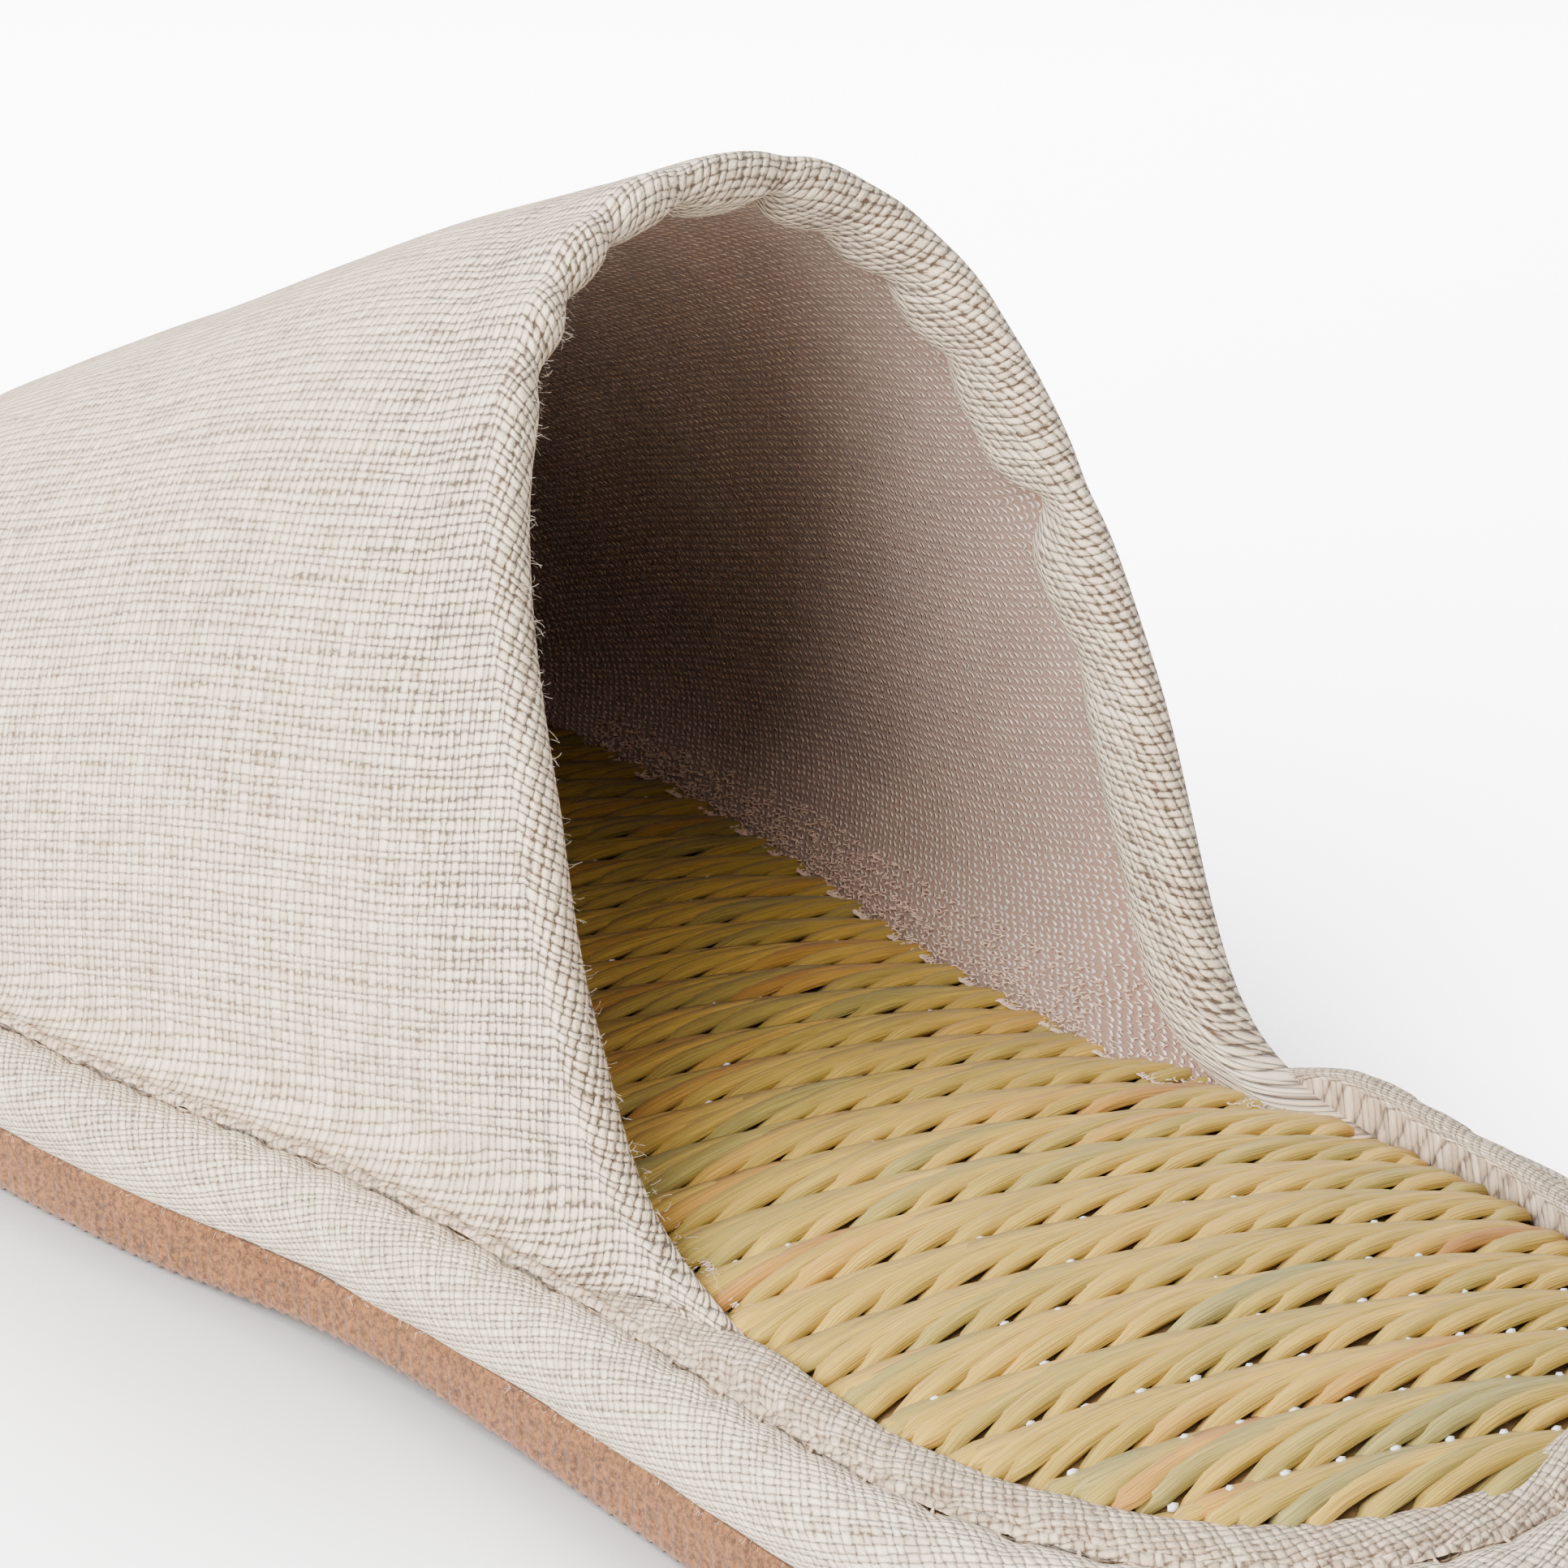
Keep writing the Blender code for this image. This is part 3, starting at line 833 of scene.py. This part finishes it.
def make_rush_strands(material):
    """Rows of strands, each crossing its row and diving under the next."""
    chance = random.Random(11)
    bm = bmesh.new()
    layer = bm.loops.layers.uv.new("cloth")
    tone_layer = bm.verts.layers.float.new("strand")
    heel, rows, pitch = mat_rows()
    widest = 0.5 * FEATHER_WIDTH
    columns = int(2 * widest / WARP_PITCH + STRAND_SPAN) + 2
    for row in range(-1, rows + 1):
        rear = heel - row * pitch
        row_tone = chance.uniform(-0.06, 0.06)
        for column in range(columns):
            start = column_y(column - round(STRAND_SPAN), row) + chance.uniform(-0.35, 0.35) * MM
            path = []
            for x, y, rise, t in strand_path(rear, start, pitch, chance):
                at = 0.5 - x / FEATHER_LENGTH
                if not 0.0 < at < 1.0:
                    continue
                inside = half_width(at) - abs(y)
                if inside < (5.0 * under_upper(x) - 2.1) * MM:
                    continue
                drop = 0.5 * MM * smooth(2.0 * MM, -0.2 * MM, inside)
                drop += 2.0 * MM * smooth(-0.2 * MM, -2.0 * MM, inside)
                path.append((x, y, mat_top(x, y) + rise - 0.40 * MM - drop, t))
            tone = min(max(chance.gauss(0.48, 0.21) + row_tone, 0.02), 0.98)
            half = STRAND_HALF * chance.uniform(0.86, 1.14)
            if len(path) >= 3:
                add_strand(bm, layer, tone_layer, path, tone, half, chance)
    bmesh.ops.remove_doubles(bm, verts=bm.verts, dist=0.004 * MM)
    bmesh.ops.recalc_face_normals(bm, faces=bm.faces)
    piece = add_piece("rush_strands", new_mesh("rush_strands", bm), material)
    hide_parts("insole_mat")


def make_warp_threads(material):
    """White stretches of warp that show between rows."""
    chance = random.Random(5)
    bm = bmesh.new()
    heel, rows, pitch = mat_rows()
    for row in range(rows):
        shown = (1.0, 1.0, 0.95, 0.9, 0.7, 0.4, 0.3, 0.2, 0.1)[min(row, 8)]
        for column in range(int(FEATHER_WIDTH / WARP_PITCH) + 1):
            y = column_y(column, row) - 0.75 * MM
            x = heel - row * pitch + ROW_LEAN * y
            at = 0.5 - x / FEATHER_LENGTH
            if chance.random() > shown or not 0.0 < at < 1.0 or abs(y) > half_width(at) - 2 * MM:
                continue
            turn = Matrix.Rotation(radians(chance.uniform(5, 35)), 4, "Z")
            size = Matrix.Diagonal((0.50 * MM, 0.76 * MM, 0.46 * MM, 1.0))
            place = Matrix.Translation((x, y, mat_top(x, y) - 0.35 * MM))
            bmesh.ops.create_icosphere(bm, subdivisions=1, radius=0.85, matrix=place @ turn @ size)
    piece = add_piece("warp_threads", new_mesh("warp_threads", bm), material)


# Upper


def arch(t):
    """Across and up shares of a section at angle t from the -Y foot to the +Y foot."""
    across = -copysign(abs(cos(t)) ** (2.0 / SECTION_POWER), cos(t))
    up = abs(sin(t)) ** (2.0 / SECTION_POWER)
    return across, up


def gather(t):
    """How far the hem is drawn in at angle t, from 0 to 1."""
    share = t / pi
    pull = 0.0
    for row in GATHERS:
        pull = max(pull, row.depth * exp(-(((share - row.at) / row.spread) ** 2)))
    return pull


def puff(t):
    """How far the hem swells between its gathers, from 0 to 1."""
    share = t / pi
    return smooth(0.15, 0.30, share) * smooth(1.0, 0.93, share) * (1.0 - gather(t))


def stray(share):
    """How far the hem lies behind its even line at a share of the arch."""
    for low, high in zip(HEM_STRAY, HEM_STRAY[1:]):
        if share <= high.at:
            t = smooth(low.at, high.at, share)
            return (low.back + (high.back - low.back) * t) * MM
    return HEM_STRAY[-1].back * MM


def edge_x(t):
    """X of the opening's rearmost edge at angle t."""
    up = arch(t)[1]
    front = OPENING_CORNER + (OPENING_TOP - OPENING_CORNER) * up**EDGE_POWER
    share = t / pi
    pull = 0.45 + 0.95 * smooth(0.52, 0.36, share)
    reach, rise = (FOOT_SWEEP_NEAR, 0.034) if share < 0.5 else (FOOT_SWEEP_FAR, 0.026)
    sweep = reach * exp(-up / rise)
    return front + HEM_WIDTH + stray(share) + sweep - pull * MM * gather(t)


def upper_point(x, t, inset):
    """Point of the upper at X and angle t, inset from its outer face."""
    across, up = arch(t)
    tip = 0.5 * FEATHER_LENGTH - max(inset, 0.0)
    at = 0.5 - 0.5 * x / tip if x < 0 else share_at(x)
    at = min(max(at, 0.0), 1.0)
    width = half_width(at)
    close = rounding(1.0 - at, CROWN_ROUND, CROWN_POWER)
    crown = INSTEP_HEIGHT * table_value(at, "crown") * close
    shrink = min(1.0, 20.0 * (1.0 - at))
    y = across * max(width - inset * shrink, 0.0)
    z = UPPER_FOOT - 0.5 * MM + lift(x) + up * max(crown - inset * shrink, 0.0)
    return Vector((x, y, z))


ARC_SLOT = 4 * MM
ARC_STEPS = 48


@functools.lru_cache(maxsize=None)
def arc_lengths(slot):
    """Lengths around half the upper, in millimetres, at a slot along X."""
    points = [upper_point(slot * ARC_SLOT, 0.5 * pi * k / ARC_STEPS, 0.0) for k in range(ARC_STEPS + 1)]
    lengths = [0.0]
    for low, high in zip(points, points[1:]):
        lengths.append(lengths[-1] + (high - low).length / MM)
    return lengths


def around(x, t):
    """Millimetres from the upper's crest at X and angle t, below 0 on the near side."""
    slot = floor(x / ARC_SLOT)
    blend = x / ARC_SLOT - slot
    place = min(max(min(t, pi - t) / (0.5 * pi) * ARC_STEPS, 0.0), ARC_STEPS - 0.001)
    k = int(place)
    result = 0.0
    for which, share in ((slot, 1.0 - blend), (slot + 1, blend)):
        lengths = arc_lengths(which)
        value = lengths[k] + (lengths[k + 1] - lengths[k]) * (place - k)
        result += share * (lengths[-1] - value)
    return -result if t < 0.5 * pi else result


def feather_normal(x, y):
    """Outward normal of the feather line at X, on the side of Y."""
    at = min(max(0.5 - x / FEATHER_LENGTH, 0.0005), 0.9995)
    step = 0.0004
    rise = (half_width(at - step) - half_width(at + step)) / (2 * step * FEATHER_LENGTH)
    return Vector((-rise, -1.0 if y < 0 else 1.0, 0.0)).normalized()


def body_dent(x, t):
    """Soft troughs and ridges of the upper's face, as an inset in metres."""
    share = t / pi
    edge = edge_x(t)
    back = edge - x
    foot = smooth(0.0, 0.12, share) * smooth(1.0, 0.88, share)
    dent = 0.45 * MM * lumps(x, t * 0.03, 0.0, 34 * MM, 2.2) * foot
    dent += 0.16 * MM * lumps(x, t * 0.03, 0.0, 13 * MM, 7.9) * foot
    seam = exp(-(((back - HEM_WIDTH - 1.5 * MM) / (2.6 * MM)) ** 2))
    dent += 0.30 * MM * seam * smooth(0.0, 0.1, share)
    reach = exp(-max(back, 0.0) / (11 * MM))
    dent += (0.30 + 0.35 * smooth(0.58, 0.42, share)) * MM * gather(t) * reach
    dent -= 0.22 * MM * puff(t) * exp(-(((back - 4 * MM) / (4.0 * MM)) ** 2))
    return dent


def make_upper(material):
    """Linen face of the upper, folded over into the gathered inner hem."""
    body = 170
    fold = 12
    inner = 16
    total = body + fold + inner
    flare = 10
    across = 200
    lowest = 0.011 * pi
    reach = STRIP_WIDTH + 0.15 * MM

    def sheet_point(x, t, inset, slip):
        """Point of the sheet: slip is 0 at the wall and 1 at the crease."""
        point = upper_point(x, t, inset)
        if slip <= 0.0:
            return point
        out = feather_normal(x, point.y)
        turn = 0.5 * pi * min(slip, 1.0)
        away = out * (reach * (1.0 - cos(turn)))
        crease = STRIP_BASE - 0.15 * MM + lift(x)
        height = point.z + (crease - point.z) * sin(turn)
        tucked = max(slip - 1.0, 0.0)
        return Vector((point.x + away.x, point.y + away.y, height - 4.0 * MM * tucked))

    def place(a, b):
        column = round(b * across)
        foot_columns = max(flare - column, column - (across - flare), 0)
        slip = foot_columns / (flare - 1)
        arched = min(max((column - flare) / (across - 2 * flare), 0.0), 1.0)
        t = lowest + (pi - 2 * lowest) * arched
        step = round(a * total)
        tip = -0.5 * FEATHER_LENGTH
        level = edge_x(t) - HEM_FOLD
        left = (level - tip) * (1.0 - (min(step, body) / body) ** 1.6)
        held = smooth(0.0, 8.0 * MM, left)
        dropped = lowest * (1.0 - held) * min(foot_columns / flare, 1.0)
        t += dropped if arched > 0.5 else -dropped
        edge = edge_x(t)
        gathered = gather(t)
        foot = exp(-arch(t)[1] / 0.06)
        spread = 3.0 * MM * exp(-((arch(t)[1] / 0.12) ** 2)) if t > 1.0 else 0.0
        thin = (0.40 if t > 1.0 else 0.75) * foot
        radius = HEM_FOLD * (1.0 - 0.30 * gathered + 0.08 * puff(t)) * (1.0 - thin)
        straight = edge - radius
        if step <= body:
            x = tip + (straight - tip) * (step / body) ** 1.6
            inset = body_dent(x, t)
            run = x - tip
        elif step <= body + fold:
            turn = pi * (step - body) / fold
            x = straight + radius * sin(turn)
            inset = body_dent(straight, t) + (radius + 0.5 * spread) * (1.0 - cos(turn))
            run = (straight - tip) + radius * turn
        else:
            back = (step - body - fold) / inner
            length = HEM_INNER * (1.0 - 0.26 * gathered)
            x = straight - length * back
            bulge = 0.60 * MM * (1.0 - gathered) * sin(pi * min(back * 1.1, 1.0))
            inset = body_dent(straight, t) + 2 * radius + spread + bulge
            inset -= 0.7 * MM * gathered * back + 1.6 * MM * back**3
            run = (straight - tip) + pi * radius + length * back
        point = sheet_point(x, t, inset, slip * held)
        round_run = around(min(x, straight), t)
        round_run += copysign(7.5 * slip * held, round_run) + 0.35 * max(run - (straight - tip), 0.0) / MM
        # Mask for the deeper painted shade in the thread gaps near the hem.
        near_hem = smooth(26.0 * MM, 5.0 * MM, (straight - tip) - run)
        return point, (run / MM + 40.0, round_run + 150.0), near_hem

    piece = sheet_piece("upper_linen", total, across, place, material, UPPER_CLOTH, 1)
    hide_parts("upper", "hem_roll")


def lining_foot(t, behind):
    """How far the lining's foot bulges over the mat, at a distance behind its edge."""
    bulge = LINING_FOOT_NEAR if t < 0.5 * pi else LINING_FOOT
    return bulge * exp(-((arch(t)[1] / 0.12) ** 2)) * smooth(0.0, 9 * MM, behind)


def make_lining(material):
    """Terry lining that folds softly onto the mat at its foot."""

    def place(a, b):
        t = pi * b
        tip = -0.5 * FEATHER_LENGTH + LINING_INSET
        end = edge_x(t) - HEM_FOLD - 0.45 * HEM_INNER
        along = a**1.5
        x = tip + (end - tip) * along
        foot = lining_foot(t, end - x)
        inset = LINING_INSET + foot
        inset += 0.5 * MM * lumps(x, t * 0.03, 0.0, 16 * MM, 4.4)
        inset -= 1.2 * MM * gather(t) * exp(-(end - x) / (5 * MM))
        point = upper_point(x, t, inset)
        round_run = around(x, t)
        round_run += copysign(0.9 * foot / MM, round_run)
        return point, ((x - tip) / MM + 30.0, round_run + 150.0)

    piece = sheet_piece("terry_lining", 130, 180, place, material, LINING_CLOTH, -1)


def make_fibres(name, paths, radius, material):
    """Fibres or loops as one piece, each a thin tube along its path."""
    data = bpy.data.curves.new(name, "CURVE")
    data.dimensions = "3D"
    data.bevel_depth = radius
    data.bevel_resolution = 0
    data.use_fill_caps = True
    for path in paths:
        spline = data.splines.new("POLY")
        spline.points.add(len(path) - 1)
        for point, place in zip(spline.points, path):
            point.co = (*place, 1.0)
    guide = add_object(name + "_guide", data)
    mesh = bpy.data.meshes.new_from_object(guide.evaluated_get(bpy.context.evaluated_depsgraph_get()))
    bpy.data.objects.remove(guide)
    mesh.name = name
    mesh.materials.clear()
    piece = add_piece(name, mesh, material)


def wandering_path(start, direction, length, chance, steps=6):
    """A fine fibre that curls away from where it starts."""
    path = [start]
    heading = direction.normalized()
    curl = Vector((chance.uniform(-1, 1), chance.uniform(-1, 1), chance.uniform(-1, 1)))
    for _ in range(steps):
        heading = (heading + 0.28 * curl).normalized()
        path.append(path[-1] + heading * (length / steps))
    return path


def make_hem_hairs(material):
    """Loose linen fibres along the hem's inner fold."""
    chance = random.Random(21)
    paths = []
    for _ in range(HEM_HAIRS):
        t = pi * chance.uniform(0.02, 0.98) ** 1.7
        radius = HEM_FOLD
        turn = chance.uniform(0.35, 0.95) * pi
        x = edge_x(t) - radius + radius * sin(turn)
        start = upper_point(x, t, radius * (1.0 - cos(turn)) - 0.1 * MM)
        out = start - upper_point(edge_x(t) - radius, t, radius)
        direction = out.normalized() + Vector((0.0, chance.uniform(-0.5, 0.5), chance.uniform(-0.5, 0.5)))
        paths.append(wandering_path(start, direction, chance.uniform(0.3, 1.5) * MM, chance))
    make_fibres("hem_hairs", paths, 0.012 * MM, material)


def make_rim_fray(material):
    """Short frayed fibres under the roll's lower edge."""
    chance = random.Random(33)
    paths = []
    for _ in range(RIM_FRAYS):
        base, out, run = feather_at(chance.random())
        reach = chance.uniform(7.8, 8.9) * MM
        start = base + out * reach
        start.z = ROLL_LOW[2] + chance.uniform(0.0, 0.8) * MM + lift(start.x)
        side = Vector((-out.y, out.x, 0.0)) * chance.uniform(-1.0, 1.0)
        direction = out * 0.9 + side + Vector((0.0, 0.0, -0.7))
        paths.append(wandering_path(start, direction, chance.uniform(0.25, 0.7) * MM, chance, 4))
    make_fibres("rim_fray", paths, 0.017 * MM, material)


def make_terry_loops(material):
    """Raised terry loops where the lining meets the mat."""
    chance = random.Random(44)
    paths = []
    for _ in range(TERRY_LOOPS):
        side = chance.choice((0.0, 1.0, 1.0))
        height = 0.020 * chance.random() ** 2.2
        t = pi * abs(side - height)
        end = edge_x(t) - HEM_FOLD - 0.45 * HEM_INNER
        x = end - chance.uniform(1.0, 108.0) * MM
        start = upper_point(x, t, LINING_INSET + lining_foot(t, end - x))
        inward = Vector((0.0, -copysign(1.0, start.y), 0.3))
        along = Vector((chance.uniform(-1, 1), 0.0, chance.uniform(-0.6, 0.6))).normalized() * 0.24 * MM
        rise = chance.uniform(0.30, 0.60) * MM
        start.z = max(start.z, mat_top(x, start.y) + 0.1 * MM)
        path = []
        for k in range(5):
            turn = pi * k / 4
            path.append(start + along * -cos(turn) + inward * rise * sin(turn))
        paths.append(path)
    make_fibres("terry_loops", paths, 0.075 * MM, material)


def make_seam_cord(material):
    """Rope-like ridge along the stitched crease."""

    def place(a, b):
        base, out, run = feather_at(a)
        turn = 2 * pi * b
        lump = 0.5 + 0.5 * cos(2 * pi * run / (1.9 * MM) + 1.5 * turn)
        radius = (0.60 + 0.15 * lump + 0.08 * lumps(base.x, base.y, 0.0, 6 * MM, 9.1)) * MM
        covered = under_upper(base.x)
        reach = STRIP_WIDTH + 0.05 * MM + 0.20 * MM * lumps(base.x, base.y, 0.0, 14 * MM, 3.3)
        point = base + out * (reach + radius * cos(turn))
        point.z = STRIP_BASE + (0.12 + 0.22 * covered) * MM - 0.35 * MM * pucker(run)
        point.z += radius * sin(turn) + lift(base.x)
        return point, (run / MM, b * 3.0)

    piece = closed_piece("seam_cord", 1400, 8, place, material)


def make_crease_stitches(material):
    """Short stitches across the crease."""
    chance = random.Random(77)
    paths = []
    count = round(FEATHER_RUN / PUCKER_PITCH)
    for k in range(count):
        run = (k + 0.08 * chance.uniform(-1, 1)) * PUCKER_PITCH
        base, out, _ = feather_at(run / FEATHER_RUN)
        if under_upper(base.x) > 0.5:
            continue
        side = Vector((-out.y, out.x, 0.0))
        path = []
        for j in range(7):
            s = j / 6.0
            point = base + out * (1.9 + 2.3 * s) * MM + side * (0.9 * (s - 0.5)) * MM
            point.z = STRIP_BASE + (0.62 - 0.9 * s + 0.12 * sin(pi * s)) * MM + lift(base.x)
            path.append(point)
        paths.append(path)
    make_fibres("crease_stitches", paths, 0.20 * MM, material)


# Light, floor and camera

# Painted light on the floor as the camera sees it: brightness at the near side, at the far side, and extra
# brightness farther from the camera.
FLOOR_PAINTED_LIGHT = (2.25, 4.5, 1.6)


def make_floor():
    """Pale floor under the slipper, which camera rays see with painted light and a painted contact shadow.
    """
    bm = bmesh.new()
    bmesh.ops.create_grid(bm, x_segments=1, y_segments=1, size=6.0)
    ground = add_object("floor", new_mesh("floor", bm))
    material, tree, shader = new_material("floor_paint", 0.9)
    shader.inputs["Specular IOR Level"].default_value = 0.0
    place = object_place(tree)
    split = add_node(tree, "SeparateXYZ", {0: place})
    # Painted light: brighter towards the far side, where the slipper's cast shadow falls, and brighter
    # farther from the camera.
    aside = maths(tree, "MULTIPLY", split.outputs["Y"], 0.6)
    away = maths(tree, "MULTIPLY_ADD", split.outputs["X"], -0.8, aside)
    painted_side_light = fade(tree, split.outputs["Y"], -0.06, 0.09, FLOOR_PAINTED_LIGHT[0], FLOOR_PAINTED_LIGHT[1])
    painted_light = maths(tree, "ADD", painted_side_light, fade(tree, away, 0.10, 0.60, 0.0, FLOOR_PAINTED_LIGHT[2]))
    # Painted shadow: camera rays see the floor darkened by ambient occlusion near the slipper.
    contact_shadow = add_node(tree, "AmbientOcclusion", {"Distance": 0.055}, samples=3)
    soft = fade(tree, contact_shadow.outputs["AO"], 0.62, 1.0, 0.15, 1.0)
    floor_light_and_shadow = maths(tree, "MULTIPLY", painted_light, soft)
    seen = shaded(tree, (0.99, 0.985, 1.0, 1.0), floor_light_and_shadow)
    path = add_node(tree, "LightPath")
    shade = mix_colour(tree, path.outputs["Is Camera Ray"], (0.80, 0.80, 0.80, 1.0), seen)
    tree.links.new(shade, shader.inputs["Base Color"])
    ground.data.materials.append(material)


def add_light(name, place, target, size, power, tint):
    """A soft square light that looks at a point."""
    data = bpy.data.lights.new(name, "AREA")
    data.shape = "SQUARE"
    data.size = size
    data.energy = power
    data.color = tint
    light = add_object(name, data)
    light.location = place
    light.rotation_euler = (Vector(target) - Vector(place)).to_track_quat("-Z", "Y").to_euler()


def make_lights():
    """Soft light from the near side, two fills and a bright room."""
    world = bpy.data.worlds.new("studio")
    world.use_nodes = True
    background = world.node_tree.nodes["Background"]
    background.inputs["Color"].default_value = (0.97, 0.98, 1.0, 1.0)
    background.inputs["Strength"].default_value = 0.50
    bpy.context.scene.world = world
    add_light("key", (0.12, -1.25, 0.72), (0.0, 0.0, 0.05), 1.5, 84.0, (1.0, 0.99, 0.97))
    add_light("heel_top", (0.55, -0.25, 0.85), (0.05, 0.0, 0.03), 0.8, 2.0, (1.0, 0.99, 0.98))
    add_light("back_top", (-0.35, 0.55, 1.05), (-0.05, 0.0, 0.05), 0.9, 9.0, (0.98, 0.99, 1.0))


def make_camera():
    """The photograph's viewing angle, distance and framing."""
    azimuth, elevation, roll = map(radians, (CAMERA_AZIMUTH, CAMERA_ELEVATION, CAMERA_ROLL))
    flat = cos(elevation)
    back = Vector((sin(azimuth) * flat, -cos(azimuth) * flat, sin(elevation)))
    level = Vector((cos(azimuth), sin(azimuth), 0.0))
    above = back.cross(level)
    right = level * cos(roll) + above * sin(roll)
    up = above * cos(roll) - level * sin(roll)
    data = bpy.data.cameras.new("camera")
    data.sensor_width = 36.0
    data.lens = CAMERA_FOCAL / PHOTO_SIZE * data.sensor_width
    data.clip_start = 0.01
    camera = add_object("camera", data)
    turn = Matrix((right, up, back)).transposed().to_4x4()
    camera.matrix_world = Matrix.Translation(CAMERA_TARGET + back * CAMERA_DISTANCE) @ turn
    bpy.context.scene.camera = camera


def main():
    weave = make_weave_group()
    # In each linen, the colour after the two thread tones is painted shade for the gaps between threads;
    # the upper's fourth colour is darker painted shade for those gaps near the hem.
    upper_linen = make_linen(
        "upper_linen", weave, LINEN_PITCH, 0.0, (0.98, 0.79, 0.57, 1.0), (0.82, 0.63, 0.435, 1.0),
        (0.20, 0.125, 0.07, 1.0), (0.10, 0.058, 0.03, 1.0), 0.40, 0.5,
    )
    rim_linen = make_linen(
        "rim_linen", weave, RIM_PITCH, radians(28), (1.0, 0.84, 0.63, 1.0), (0.82, 0.64, 0.45, 1.0),
        (0.15, 0.095, 0.055, 1.0),
    )
    strip_linen = make_linen(
        "strip_linen", weave, RIM_PITCH, radians(20), (0.78, 0.60, 0.42, 1.0), (0.54, 0.39, 0.25, 1.0),
        (0.15, 0.09, 0.05, 1.0), fleck_amount=0.3,
    )
    terry = make_terry()
    rush = make_rush()
    suede = make_suede()
    # Painted shade: the mat body's dark colour stands for the shade between the strands.
    bed = make_plain("mat_shadow", (0.17, 0.10, 0.035), 0.9, 900.0, 0.2)
    warp = make_plain("warp_cotton", (0.86, 0.86, 0.88), 0.7, 3000.0, 0.1, 0.08)
    fibre = make_plain("linen_fibre", (0.74, 0.64, 0.53), 0.8, 800.0, 0.02)
    loop = make_plain("terry_loop", (0.72, 0.52, 0.40), 0.9, 2500.0, 0.05)
    thread = make_plain("sewing_thread", (0.62, 0.45, 0.32), 0.75, 2500.0, 0.08)
    make_outsole(suede)
    make_rim_roll(rim_linen)
    make_edge_strip(strip_linen)
    make_mat_bed(bed)
    make_rush_strands(rush)
    make_warp_threads(warp)
    make_upper(upper_linen)
    make_lining(terry)
    make_hem_hairs(fibre)
    make_rim_fray(fibre)
    make_terry_loops(loop)
    make_seam_cord(strip_linen)
    make_crease_stitches(thread)
    make_floor()
    make_lights()
    make_camera()


main()
